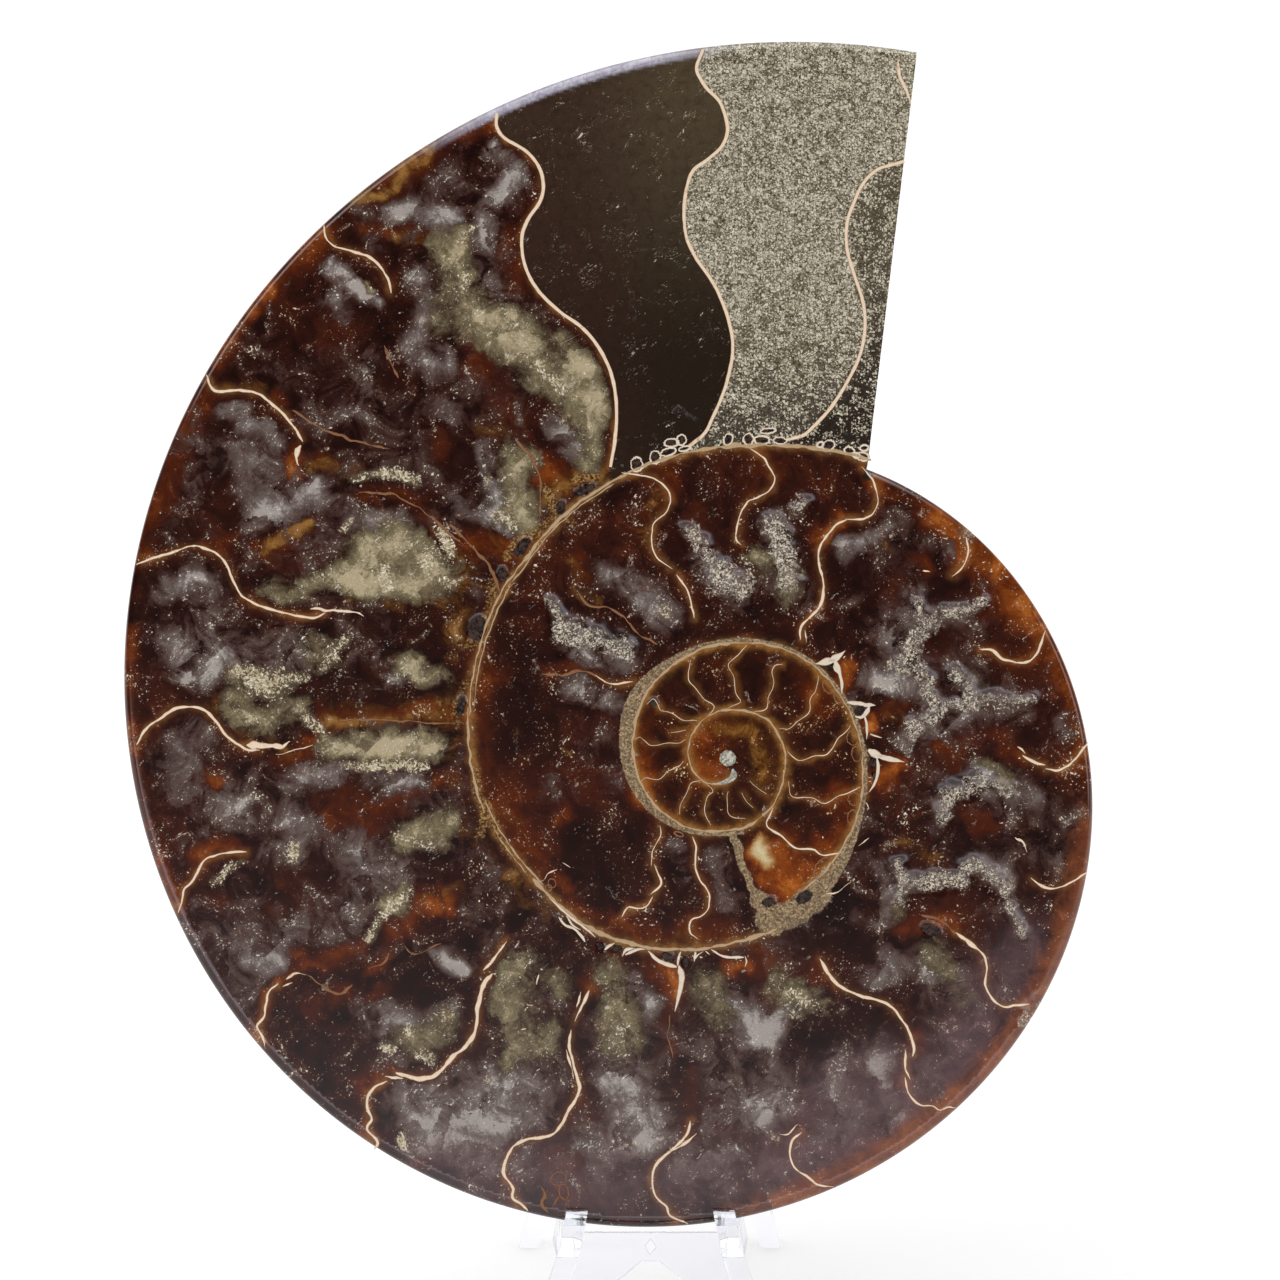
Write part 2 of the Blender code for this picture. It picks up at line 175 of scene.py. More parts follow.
# loose flakes of shell beside the septa: width, then the line
FLAKES = (
    (0.95, -64.8,48.1, -65.4,46.5, -65.1,45), (0.5, -63.3,23.3, -60,23, -57,22.8, -55.2,22.1),
    (1.15, -73,2.6, -70,2.4, -67.8,2.4, -66.4,3), (0.4, -68.6,1.1, -65.8,1.7, -63,2.7),
    (0.5, -67,-33.1, -65.5,-32.1, -64,-32.4), (0.4, -67.5,-34.3, -66,-33.7), (0.5, -49.2,-48, -52,-47.9),
    (0.35, -24.3,-43.8, -23.8,-46, -23.2,-48.2), (0.4, -22.2,-50.4, -23.6,-52.2, -24.6,-54.2),
    (0.5, -22.2,-35, -22.8,-37.3), (0.5, -4.6,-56.5, -6.5,-58, -9,-59.4),
    (0.35, 8.1,-56.6, 9.4,-56.5, 10.8,-55.2), (0.5, 44.3,2.4, 45.5,1.4),
    (0.45, 43.8,-11.5, 45.1,-12.3, 45.8,-13.7), (0.5, 29.8,29, 30.9,28.9),
    (0.35, -27.6,-17.9, -27.2,-16.9, -25.8,-16.4), (0.3, -25,-15.4, -23.8,-16.1),
    (0.3, 11.8,20, 11.9,18.2), (0.3, 21.8,4.2, 22.6,3.9, 23.4,3.6), (0.3, 20,-12.7, 21.6,-11.6),
    (0.28, 15,-20, 16.8,-19.8, 18.8,-18.3), (0.7, -28.6,-32.4, -28.9,-33.9), (0.7, -30.4,-37, -29.5,-37),
    (0.7, -31.3,-40.8, -30.5,-40.6),
)

# thin tan lines left by crushed shell: width, then the line
TAN_LINES = (
    (0.3, -66,53.5, -62,51, -58,49.3, -54,48, -51.3,47.6), (0.4, -52,63.3, -51.3,61, -50,58.3),
    (0.3, -56,40.9, -51,40.6, -47.5,39, -44.5,36.8, -42,34.5, -40,33),
    (0.35, -42,36.2, -38.8,32.8, -36.2,29.8, -34.4,25.7),
    (0.3, -32.2,49.3, -30,46.5, -28.3,43.2, -28.3,39.5, -28.6,36),
    (0.3, -28,13.2, -25,13.2, -22.5,13.9, -19.8,13),
    (0.25, -22.6,26, -21.3,24, -18,23.3, -15.5,21.8, -13,19, -10.5,18),
    (0.3, -59,6.2, -52,6.4, -45,5.9, -40.5,6),
    (0.35, -64,-32.4, -62,-33.6, -60,-35, -58.4,-35, -57,-33.8),
    (0.35, 29.5,-23.4, 32,-23.8, 34,-25.4, 35,-26.3), (0.25, -8.7,-38.5, -8.9,-42, -8.2,-45),
    (0.22, -54.5,-31.4, -52.6,-30.8, -51.3,-29.2), (0.22, -24.5,-8.8, -25.2,-8, -24.5,-7),
    (0.3, -28.4,-64.3, -27.6,-66, -28,-67, -27.2,-68.6),
    (0.25, -26.5,-67.8, -25.6,-66, -24.4,-66.5, -24,-68),
    (0.25, -43.5,-27.5, -45.5,-28.5, -47.5,-29.3, -49,-28),
)

# rings of the siphuncle's chamber linings: middle, half width, half height, turn in degrees
RINGS = (
    (-13.7, 45.2, 0.9, 1.05, 10), (-10.9, 46.3, 0.8, 0.95, 0), (-8.9, 47.1, 1.2, 0.55, 18),
    (-8.4, 48.5, 1.1, 0.6, 5), (-6.9, 48.9, 0.7, 0.8, -20), (-6.4, 47.6, 0.9, 0.35, 15),
    (0.2, 49, 0.65, 0.9, -25), (3.3, 49, 0.75, 0.9, 0), (5.3, 48.9, 1.15, 0.65, 0),
    (6.3, 50.3, 1.1, 0.4, 5), (8.1, 48.8, 1, 0.5, -5), (15.5, 48.1, 0.95, 0.75, 25),
    (14.2, 48.2, 0.5, 0.4, 40), (18.6, 47.3, 0.75, 0.55, -10), (20.6, 46.4, 1, 0.6, -10),
    (20.9, 47.7, 0.6, 0.45, 15), (19.7, 46.6, 0.5, 0.4, 0),
)
INNER_RINGS = (
    (15.5, 11.4, 0.8, 1.1, 35), (16.9, 9.7, 0.55, 0.8, 30), (19.1, 3.6, 0.85, 1.1, 8),
    (19.7, 1.2, 0.7, 1.15, 6), (19.4, -5.7, 0.95, 0.95, 40), (19.1, -8.5, 0.75, 1.15, 0),
    (14.6, -16.2, 1.1, 1.8, -32), (-25.6, -63.4, 1.2, 1, 20), (-24.8, -65.4, 0.7, 1.2, 10),
    (-26.6, -18.5, 0.6, 0.7, 0), (-27.1, -19.2, 0.5, 0.5, 0), (-7.3, -11, 0.7, 0.3, -20),
)

# white spurs and teeth on the whorl wall: width at the start and at the end, then the line
SPURS = (
    (0.5, 1.5, 13.5,14.9, 15,15.2, 16.4,15.4), (1.5, 0.2, 15.6,15.2, 17,16, 18,16.9),
    (1, 0.35, 16.3,15.6, 16.7,14.6, 17.2,13.3, 17.5,11.8, 17.5,10.5),
    (0.3, 0.45, 16.2,14.7, 16.5,13.9, 17.1,13.4), (0.6, 0.9, 18.3,9.1, 20,8.9, 21.4,8.7),
    (1.2, 0.3, 20.8,8.5, 21.8,8.6, 22.6,8.5), (0.9, 0.4, 21.7,8.5, 21.1,7.3, 20.4,6.7, 19.5,6.9),
    (0.5, 0.25, 20.9,7.2, 21.2,5.9, 21.3,4.4, 21.2,3.4), (0.35, 0.2, 21.8,4.3, 22.8,3.9, 23.6,3.6),
    (1.7, 1.3, 21.5,1.8, 22.6,1.1, 23.8,0.7), (1.3, 0.2, 23,0.8, 24.8,0.4, 27,-0.1),
    (0.5, 0.3, 22.8,0.6, 23,-0.8, 22.8,-2.4, 22.3,-3.6, 21.6,-4.6),
    (0.3, 0.2, 21.2,-6.2, 21.6,-6.9, 21.4,-7.4),
    (0.3, 0.5, -25.6,-23.6, -24.6,-24.8, -23.2,-25.4, -22.2,-26.4, -21.6,-27.4),
    (0.35, 0.4, -26.8,-20.8, -25.2,-22.4, -23.5,-23.9, -21.6,-25.3, -20,-26.7),
    (0.25, 0.3, -24.4,-23.4, -23.4,-24.8, -22.2,-25.6), (0.6, 0.4, -18.6,-28.6, -17.9,-28, -17,-27.6),
    (0.8, 0.2, -14.2,-28.4, -15.3,-28.6, -15.9,-29.6), (0.5, 0.3, -15.5,-29.3, -13.8,-28.6, -12.4,-28.6),
    (0.35, 0.7, -12,-28.8, -10.8,-30, -9.2,-30.8, -7.6,-31.2), (0.35, 0.5, -7,-28.9, -7.4,-30, -7.5,-31),
    (1.1, 0.3, -7.3,-31, -6.9,-32.4, -7,-34, -7.4,-35.8, -7.9,-38), (0.9, 0.2, -4.8,-28.9, -5,-30.4),
    (0.4, 0.2, -5,-30.2, -4.4,-29.4, -3.6,-28.9), (0.5, 0.2, -3.2,-28.8, -2.6,-29.3),
    (0.35, 0.5, -2.4,-28.6, -0.8,-29.5, 1,-29.8, 2.6,-29.8), (0.5, 0.2, 2.7,-29.6, 3,-30.4, 2.8,-31.2),
)

# openings beside the whorl wall, dark with painted shade: middle, half width, half height, turn in degrees
CELLS = (
    (-21.6, 41.3, 1.7, 0.6, 25), (-25.3, 38.6, 0.6, 1, -10), (-31.2, 32.6, 1.7, 0.8, 48),
    (-34.1, 28.6, 0.7, 0.8, 0), (-37.9, 20.2, 1.3, 1.9, -15), (-40.4, 8.4, 0.55, 1.6, -12),
    (-8.9, 47, 0.9, 0.35, 18), (-13.6, 45.3, 0.3, 0.5, 10), (-10.9, 46.3, 0.4, 0.5, 0),
    (3.3, 49, 0.4, 0.5, 0), (5.3, 48.9, 0.8, 0.4, 0), (8.1, 48.8, 0.7, 0.3, -5),
    (20.6, 46.4, 0.7, 0.35, -10), (15.7, 14.5, 0.7, 0.5, 40), (20.2, 7.7, 0.8, 0.55, 0),
    (22.3, -0.1, 0.45, 0.7, -20), (22.4, -2.2, 0.2, 0.7, 0), (-9, -29.7, 1, 0.55, -25),
    (-6.3, -30.5, 0.45, 0.8, 0), (-11.2, 9, 0.7, 0.55, -30), (11.8, -20.6, 1.3, 0.8, 35),
    (6.3, -21.4, 0.9, 0.6, 10), (31, -25.6, 1.6, 0.8, -20), (-16.6, -28.4, 0.7, 0.4, 30),
    (-19.3, -28, 0.6, 0.35, -30),
)

# ---- colour fields: each stroke is its half width, its strength, then x,y pairs ----

GREY = (
    (1.6, 0.9, -36.5,93, -33.5,91.5, -31.8,90), (1.8, 0.8, -32,89, -33.5,86, -36,84, -35.5,80),
    (3, 0.45, -34,86, -36,80, -37,75, -35,70), (2, 0.9, -26,50, -24,48.5, -22,46),
    (1.5, 0.7, -32.5,61.5, -31,61), (2, 0.8, -50,84, -46,84, -43,83), (2.5, 0.7, -42,82, -43,77),
    (1.8, 0.8, -47,74, -45,71, -46,67), (2.5, 0.35, -46,88, -42,90, -40,87),
    (1.5, 0.9, -36.5,48, -36.5,45.5), (2, 0.9, -35.5,42, -35,39, -33.5,36.5),
    (1.5, 0.5, -41,40, -38,37, -34,36), (1.3, 0.95, -61,75.5, -58.5,73.8, -55.5,72, -52.5,70.3),
    (2, 0.5, -60,70.5, -58,69), (3, 0.3, -64,60, -60,61, -56,62), (1.5, 0.6, -56,58, -54.5,56.5),
    (2, 0.45, -58,53, -55,52), (2.5, 0.85, -47.5,63, -45,60.5, -43,61), (3, 0.4, -45,54, -42,52),
    (1.4, 0.7, -77,53, -74.5,53.5, -73,51.5, -70,50.5, -68.5,48), (3.5, 0.4, -74,47, -70,44, -73,41),
    (4, 0.42, -82,47, -84,43), (1.4, 0.65, -62,43, -64,41, -65,39.8), (2.2, 0.4, -70,38, -66,39, -61,41),
    (2, 0.6, -74,36, -70,37.5, -67,37), (2, 0.75, -84,27.5, -80,28.5), (2, 0.55, -86,25.5, -84,26),
    (3, 0.5, -79,25, -80,21), (2, 0.75, -56,36.5, -52,36.5, -48,35.5), (4, 0.6, -78,16, -72,17, -66,18),
    (2, 0.7, -82,12.8, -79.5,13.5), (3, 0.5, -80,16, -85,18), (1.2, 0.9, -51,11.5, -49.5,12.5),
    (2, 0.65, -58,-2, -54,-3, -50,-3, -46,-3.5), (4, 0.4, -80,5.5, -83,3, -82,-1, -79,-6, -76,-8),
    (3, 0.5, -72,-2, -74,-5, -75,-9), (3, 0.6, -66,-8, -64,-10, -66,-12), (2, 0.5, -70,-14.5, -67,-15),
    (2.5, 0.55, -66,-3, -60,-1.5), (4.5, 0.6, -56,-14, -54,-18, -50,-19), (3, 0.3, -78,-27, -70,-27),
    (3, 0.35, -66,-26, -61,-26), (2, 0.6, -71,-29, -69,-30, -68,-31), (3, 0.3, -75,-30, -73,-34),
    (2.5, 0.55, -50,-39, -46,-39, -43,-38), (2.5, 0.4, -56,-37, -52,-39), (1.5, 0.7, -43,-29, -42,-31),
    (2.5, 0.65, -44,-52, -44,-56, -45,-58), (1, 0.9, -44.5,-54, -45,-57), (3, 0.35, -50,-52, -48,-56),
    (4, 0.65, -38,-49, -34,-50, -30,-47), (3, 0.7, -36,-54, -33,-53, -30,-52),
    (1.2, 0.85, -36,-54.5, -33.5,-54.8), (4, 0.45, -40,-56, -38,-60), (1, 0.9, -42,-30, -40.5,-31.5),
    (4, 0.86, -16,-48, -14,-52, -13,-55), (2, 0.7, -12,-36, -14,-33), (3.5, 0.75, 2,-38, 5,-40, 8,-39),
    (1.5, 0.95, 5,-41.5, 7,-42, 8,-41), (5, 0.4, 2,-50, 0,-58, -3,-62), (3, 0.5, 6,-53, 8,-52),
    (1.5, 0.7, 5,-55, 8,-52), (2.5, 0.5, 25,-31, 22,-33), (3, 0.6, 30,-30, 32,-32, 35,-34),
    (3, 0.5, 18,-44, 22,-43, 24,-45), (1.5, 0.7, 22.5,-46, 23.5,-50, 25,-54),
    (4, 0.4, 16,-50, 18,-54, 16,-57), (2.2, 0.6, 22,12.5, 26,11.5, 29,11.5), (2.5, 0.6, 31,5, 28,3),
    (2.4, 0.42, 27,19, 25,14, 29,11.5), (2.2, 0.42, 33,13, 38,9, 45,8), (2, 0.5, 29,5, 36,8),
    (2, 0.4, 38,-3, 34,-6, 32,-10), (2.2, 0.5, 38,-2, 44,-4, 47,-5), (2, 0.5, 24,-16, 25,-20, 24.5,-24),
    (1.5, 0.35, 38,-14, 42,-15, 43,-18), (2, 0.32, 37,-13, 42,-19), (2, 0.45, 27,-18, 36,-18),
    (1.3, 0.7, 17,33.5, 19,33.5, 17.5,30.7), (1.2, 0.6, 21,34, 24,34.5, 25,36), (3, 0.4, 26,24, 24,20),
    (2.2, 0.42, 28,25, 29,20, 36,23), (2.5, 0.5, -3,31, 0,27, 1,25), (2.2, 0.5, 7,36, 8,30, 8,26),
    (2.4, 0.75, -18,28.5, -14,27, -11,25, -8.5,22.5), (2.5, 0.7, -22,17.5, -19,16, -15.5,15.5),
    (2.2, 0.55, -23,11, -20,10, -17.5,8), (2.5, 0.5, -27,-3.5, -25,-4.5),
    (2.5, 0.4, -20,2, -18,0, -17,-4), (2.2, 0.4, -8,-13, -7,-17), (2.6, 0.38, -2,-14, -1,-18, 0,-22),
    (3, 0.35, 46,-13, 50,-15), (3, 0.35, 48,8, 52,5), (1.5, 0.5, 33,31, 33.5,33),
    # the wide strokes low on the face stand partly for the pale sheen mirrored there, painted in
    (2, 0.5, 44,-23, 46,-26), (6, 0.42, -48,-50, -38,-57, -22,-60, -5,-60),
    (6, 0.28, 8,-48, 22,-52, 34,-45, 42,-36), (6, 0.1, -78,-22, -70,-34, -60,-44),
    (5, 0.12, -86,20, -86,0, -82,-14), (5, 0.3, -36,-28, -22,-40, 0,-44), (4, 0.3, -64,-20, -50,-30),
    (4, 0.3, -70,44, -60,38, -66,32),
)
GREEN = (
    (2.5, 0.7, -40,80, -39.5,76, -40.5,73, -39,70), (3, 0.8, -38,68, -34,67, -31,66),
    (4, 0.8, -36,65, -30,62, -26,58, -23,54), (2.5, 0.75, -24,64, -21,60, -20,55, -20,50, -21,46),
    (2.5, 0.6, -44,78, -42,74, -44,70, -43,66), (3, 0.8, -32.5,46, -31.5,42, -31.5,37.5),
    (1, 0.7, -54.5,73.3, -53.5,72), (2, 0.7, -69,26, -64,27, -59,27.5, -55,26.5),
    (3.5, 0.95, -54,33, -50,33.5, -46,31.5, -44,28), (3, 0.9, -58,29, -54,28, -50,27, -47,26),
    (3, 0.7, -73,8, -70,6, -66,8), (2, 0.6, -75,12, -75,8), (3, 0.5, -64,17.5, -62,16),
    (2.5, 0.85, -48,14, -46,12.5, -44,11.5), (2.3, 1, -61,2.2, -56,2.5, -50,2.5, -45,2),
    (2.5, 0.85, -49,-12, -46,-11, -42,-10), (1.5, 0.8, -52,-22, -50,-21.5, -48,-20),
    (3, 0.65, -48,-42, -45.5,-42, -43,-40), (3.5, 0.6, -34,-33, -33,-38, -33,-44),
    (2.5, 0.6, -28,-41, -27.5,-44), (3.5, 0.68, -18,-33, -17,-38, -16,-44),
    (3, 0.6, -3,-33, -2,-36, -1,-39), (3, 0.7, 8.5,-34, 11,-37, 13,-37),
    (2.5, 0.55, 31,-29, 34,-33, 37,-36), (1.4, 0.45, 37,13.5, 39,12),
    (1.5, 0.45, 38.5,-0.8, 41,-2, 43.5,-3.8), (1.1, 0.4, 27,-21.5, 26,-23.5), (2.5, 0.8, 10,28, 9.5,26),
    (2, 0.7, 4,32, 6,30), (2.5, 0.6, -33,-29, -29,-31, -26,-34),
)
CREAM = (
    (0.9, 0.9, -29,60.5, -28,58.5, -26.5,58, -25.5,56.7), (1.1, 0.9, -74.5,14, -72,13.5, -70,12.5),
    (1.8, 1, -72,12, -69,10.8, -67.5,12), (1, 0.9, -61.5,14, -60,15.8), (0.7, 0.9, -66.5,12.7, -64,12.8),
    (1, 0.8, -60,17.5, -58,18), (1, 0.9, -65,8.2, -63.5,6.3, -61.8,5),
    (0.8, 1, -58,-0.4, -54,-0.8, -50,-0.4, -46,-0.7), (1, 0.9, -65.5,-13, -66,-14.5),
    (0.8, 0.9, -50,-11.3, -47,-12.5, -45,-13), (0.8, 0.9, -54.5,-27, -52,-23, -49,-20.5),
    (0.6, 0.7, -73.3,-15, -76,-16.5, -78,-18.5), (0.7, 0.9, -48.5,-40.5, -48.5,-41.5),
    (1, 0.8, -47,-44.5, -45,-45), (0.8, 0.8, -52,-43, -51,-43.5), (0.8, 0.9, -49.3,-57.5, -49.2,-58.5),
    (1, 0.9, 10.5,-35, 13,-37.5), (0.8, 0.9, 9.5,-38.5, 11,-38.7),
    (0.8, 0.9, -43.5,35, -42.5,33, -42,31.5), (1, 0.9, -49,34, -48,33), (0.9, 0.9, -52,29, -51.5,26.5),
    (1, 0.8, -47,30.5, -45,30), (1, 0.9, -43,28, -42,27),
    (0.8, 0.9, -56.5,43, -54,43.6, -50,43.8, -47.5,42.8), (0.7, 0.8, -57,36.7, -58,35.4),
    (0.8, 0.8, -39,81, -40.5,79), (0.8, 0.8, -39.5,74, -40,71.5), (0.6, 0.9, -36.5,41.8, -36.5,43),
    (1, 0.9, -34.5,37.5, -33,36), (1, 0.8, -9.5,23, -9,22.5), (0.8, 0.8, 6.5,-56.5, 8,-57.2),
    (0.6, 0.9, -15.7,-40, -15.8,-40.8),
)
AMBER = (
    (2, 0.9, -78,62, -73,69.5, -68,75, -62.5,80), (2, 0.9, -56,86, -51,89.5, -46,93),
    (1.2, 0.8, -42,95.5, -38,97, -36,97), (1.2, 0.7, -55,81.3, -48,80.3, -45,79),
    (1.5, 0.6, -44,81, -41,79.5), (1.5, 0.6, -38,64, -38,58), (1.8, 0.8, -29,46, -27,43.5, -25,42),
    (1.5, 0.7, -26,44, -23,43.5, -21,43.8), (2.4, 0.9, -38.5,32.5, -34,32.5, -30,35),
    (1.5, 0.9, -66,47, -66.5,44.5), (1.5, 0.7, -62.5,46.5, -60,46),
    (1.3, 0.6, -72,32.3, -69,33, -66,34.5, -63,36.2), (1.5, 0.6, -79,33.5, -76.5,34.5),
    (2.2, 0.7, -88.5,33, -86,40, -83,49, -80,55.5),
    (1.2, 0.8, -91,20, -91.5,8, -90,0, -89,-8, -86,-17, -84.5,-21.5),
    (1.9, 0.9, -61,7, -57,7.7, -52,7.8, -46,7.3, -41,6.8), (1.4, 0.8, -50,-5.3, -46,-4, -41,-2),
    (1.2, 0.7, -62,-9, -61,-10.5), (1.5, 0.6, -53,-6.5, -50,-7.5), (1.5, 0.95, -64,3, -61,3.3),
    (1.5, 0.8, -68.5,-1, -66,0, -64,1), (1.8, 0.9, -79,-2.5, -77,-3.5),
    (2, 0.9, -50,-26, -48,-23, -46,-21.5, -43,-21), (1.2, 0.9, -80,-14.5, -77,-13, -74,-13),
    (1.2, 0.5, -70,-22.5, -69,-23), (1, 0.4, -68.5,-18.5, -68,-19),
    (1.5, 0.9, -66,-29, -63,-30.2, -60.5,-30.3, -58,-28.5, -55,-28),
    (1, 0.9, -54.5,-31.5, -52.5,-30.8, -51.3,-29.3), (1.2, 0.6, -54,-36, -51.5,-34.5),
    (1.2, 0.8, -67.5,-32.5, -65,-31.7), (1.5, 0.7, -60,-35.8, -57.5,-35),
    (1.5, 0.6, -63.5,-38.3, -63.5,-37), (1.2, 0.7, -71,-36, -70.5,-38.5),
    (1.5, 0.7, -55.5,-49.5, -53,-47.5, -51,-47), (1, 0.7, -54.5,-56.5, -53.5,-58),
    (1.2, 0.5, -46.5,-60, -46,-61.5), (2, 0.8, -18,-31.5, -21,-34), (2.5, 0.95, -10,-32, -8.3,-34),
    (1.5, 0.7, 3,-36.5, 6,-36.5), (2.5, 0.8, 6,-29, 7,-32), (1.5, 0.9, 0,-30.5, 3,-31.5),
    (1.2, 0.9, 29.5,-43, 29,-41), (2, 0.6, 13,-31, 12,-32.5), (1.2, 0.8, 24.5,-49, 26.5,-49.5),
    (2, 0.8, 33,-53.5, 35,-52), (2, 0.7, 32,3, 34,2.5, 35,0), (1.5, 0.7, 27,9.5, 25,8.5),
    (1.6, 0.95, 27,-25, 29.5,-24, 32,-23.8, 34,-25),
    (1.6, 0.95, 56,-8, 56.2,-3, 55,3, 53.5,8, 51.5,13, 50,17), (1.5, 0.7, 42,0.5, 44,0),
    (1.5, 0.9, 18,14.5, 17.8,12.5), (1.3, 0.9, 22,7, 22.3,5.5), (1.5, 0.7, 37,-8, 40,-8),
    (1.2, 0.7, 38,-10.2, 41,-10.5), (1.2, 0.9, 22.5,43.5, 25,42.8), (2.5, 0.9, 31,38.5, 36,34, 40,30),
    (4, 0.75, 42,27, 46,23.5, 49,19), (1.5, 0.9, 34,35, 35,31), (1.5, 0.8, 38,33.5, 37.5,31),
    (1.2, 0.6, 24.5,41.5, 26,41), (1.5, 0.85, 16.5,38, 17,36.5), (1.5, 0.8, 14,33.5, 14.5,35),
    (1.2, 0.9, 28.5,30.5, 29.5,29), (1.3, 0.6, -28,13.5, -25,14, -22,14.5), (1.8, 0.7, -34,14, -37,12),
    (1.5, 0.5, -37.5,16, -38,8, -37,0), (2, 0.35, -30,-12, -26,-13),
    (1.5, 0.7, -25,-21, -22,-23, -18,-24.5, -12,-26), (2, 0.6, -14,-26, -8,-27, 0,-25.5),
    (3, 0.55, -33,-8, -29,-16), (1.4, 0.45, -23,31, -22,27), (2, 0.6, -10,44.5, -9.5,42),
    (1.5, 0.5, -4,38, -3,32), (2, 0.7, 13.5,-17, 17,-13), (2, 0.7, 17.5,-4, 18,-11),
    (1.5, 0.8, 15.5,-13.3, 13.5,-12), (1.5, 0.8, 18,-3.5, 17,-4.5), (2, 0.7, -13,-2, -12,-6, -8,-9),
    (2, 0.6, -13,7, -13,1), (2, 0.5, 12,12, 15,8), (1.2, 0.7, 12.5,11, 13,9.5),
    (2, 0.7, -27,-60.5, -24,-61), (1.5, 0.6, -26,-65, -25,-67), (1.5, 0.5, -43,46, -43,49),
    (3, 0.4, -57,-8, -58,-4),
)
ORANGE = (
    (1.6, 0.8, -75.5,65, -72,68.5, -69,73), (1.3, 0.85, -49.5,90.5, -46.5,92.5),
    (1.1, 0.6, -28,44, -25,42.5), (0.9, 0.3, -70,33, -66,34.6, -63.5,36),
    (0.6, 0.5, -59,6.2, -52,6.4, -45,5.9, -42,6), (1.1, 0.8, -44,-22, -42,-22.5),
    (1, 0.8, -63,3.1, -61.8,3.5), (1.4, 0.95, -8.6,-32.4, -8,-34), (0.9, 0.8, 1,-30.6, 3,-31.2),
    (1.2, 0.9, 18,14.2, 17.9,12.6), (1, 0.9, 22.2,7.2, 22.3,5.6), (1.8, 1, 24.8,-1, 23.8,-2.6),
    (2.4, 0.7, 45,24.5, 47.5,21), (1.2, 0.7, 40,29.5, 43,27), (1.2, 0.7, 55.8,-9, 56,-6),
    (1.2, 0.75, 32.5,37.5, 35,35.5), (3, 1, 7,-14, 8,-17, 10,-19), (2, 0.9, 4.5,-14, 6,-17),
    (2.2, 0.3, -4,4, -4.8,1, -3.5,-2), (1.5, 0.25, -1.5,6, -3.5,4.5), (1.6, 0.6, -13,-1.5, -12.5,-5),
    (1.4, 0.6, 14,-12.8, 15.5,-13.5), (1, 0.7, -67,45.8, -66.7,44.5), (1, 0.7, 16.6,37.6, 17,36.9),
    (1, 0.45, -26,-8.8, -24.6,-7.8), (1, 0.6, -78,-3, -76.8,-3.6), (1, 0.55, -26,-17.5, -24.8,-18.4),
    (1, 0.6, -69,56.3, -68,55.3),
)
RED = (
    (1.6, 0.9, -33,80, -32.5,76, -31,72.5), (2.5, 0.7, -36,60, -34,55, -32,51),
    (1.2, 0.95, -56,41.2, -51,41, -48,39.5, -45,37.5, -42.5,35.5), (2.5, 0.75, -67,31.5, -64.5,30.5),
    (3, 0.5, -76,39.5, -79,38), (1.5, 0.5, -55,14.5, -53,13.5), (3, 0.8, -60,-8, -57,-8, -55,-10),
    (1.5, 0.7, -79,-22, -77.5,-22), (4, 0.45, -62,-22, -66,-18), (3, 0.7, -21,-54.5, -18.5,-54.5),
    (2, 0.8, -9,-36, -9.5,-40, -9,-43), (1.2, 0.7, -5.5,-47, -5.5,-52), (5, 0.5, -3,-57, 4,-60, 12,-54),
    (3.5, 0.5, -22,-62, -20,-65), (3, 0.7, 18,-60.5, 24,-57.5, 30,-54), (3, 0.7, 33,-22.5, 36,-23.5),
    (2, 0.9, 37,3.5, 39.5,4, 41.5,3.5), (1.5, 0.6, 25,28, 25,25),
    (4, 0.7, -36,-4, -28,-4, -22,-4, -16,-3), (3, 0.5, 15,42, 8,44, 0,44),
    (3, 0.5, -30,22, -26,31, -18,36), (4, 0.5, 42,20, 48,12, 52,0), (3, 0.4, -86,14, -87,5),
    (4, 0.45, -84,-8, -82,-14), (3, 0.5, 30,-1, 26,-5), (4, 0.5, -58,66, -60,64),
    (3, 0.45, -62,84, -66,70), (3, 0.5, -45,92, -52,84), (3, 0.5, -16,33, -12,38), (3, 0.5, 32,17, 35,20),
    (3, 0.5, -25,6, -20,4), (3, 0.4, 30,-14, 28,-14),
)
DRUSE = (
    (1.2, 1, -6,35, -4,33.5, -2.5,31, -1,29), (2, 1, 0,28, 1,26.8, 2,26.5),
    (1.8, 1, 7,36, 8,34, 9,31, 9,28, 10,26.5), (1, 0.8, 10.5,38, 12,39.5),
    (0.9, 0.9, -27,24.5, -26,22.5, -25,20.8), (1.8, 1, -25,19.5, -22,19, -19,18.6, -16,17),
    (1.3, 0.9, 29,24, 30,22, 31.5,20.5), (0.9, 0.9, 33,22.8, 36,22.8, 39,24.5),
    (1.6, 0.9, 29,19, 27.5,16.5, 26,14.5), (1.2, 1, 29.5,14, 30.3,12),
    (1.3, 0.9, 34.5,13, 36.5,11.5, 37.5,9.5), (1.1, 0.9, 31,7, 34,8, 37,8.5),
    (0.9, 0.8, 40,10, 43,9, 46.5,9.5), (1, 0.9, 28,5.5, 29,4.8), (0.8, 1, 31,10, 31.5,9.5),
    (1.5, 0.9, 34,-5, 36.5,-4, 38,-3), (1.2, 0.9, 32.5,-7.5, 33,-9), (1.3, 0.8, 40,-3.8, 43,-4.8),
    (1.1, 0.9, 26,-15.5, 27,-18, 26.5,-20.5), (1.1, 1, 29,-18, 33,-18.3, 36,-18),
    (1.1, 0.75, 37.5,-16, 40,-17, 42,-19.5), (1, 0.8, 38,-15.5, 36,-16.5),
    (0.8, 0.9, 43,-22, 44.5,-25, 45,-26.5), (1, 0.9, 47,-37, 46,-38.5, 45.4,-40),
    (0.8, 0.8, 36,35, 37,34),
)
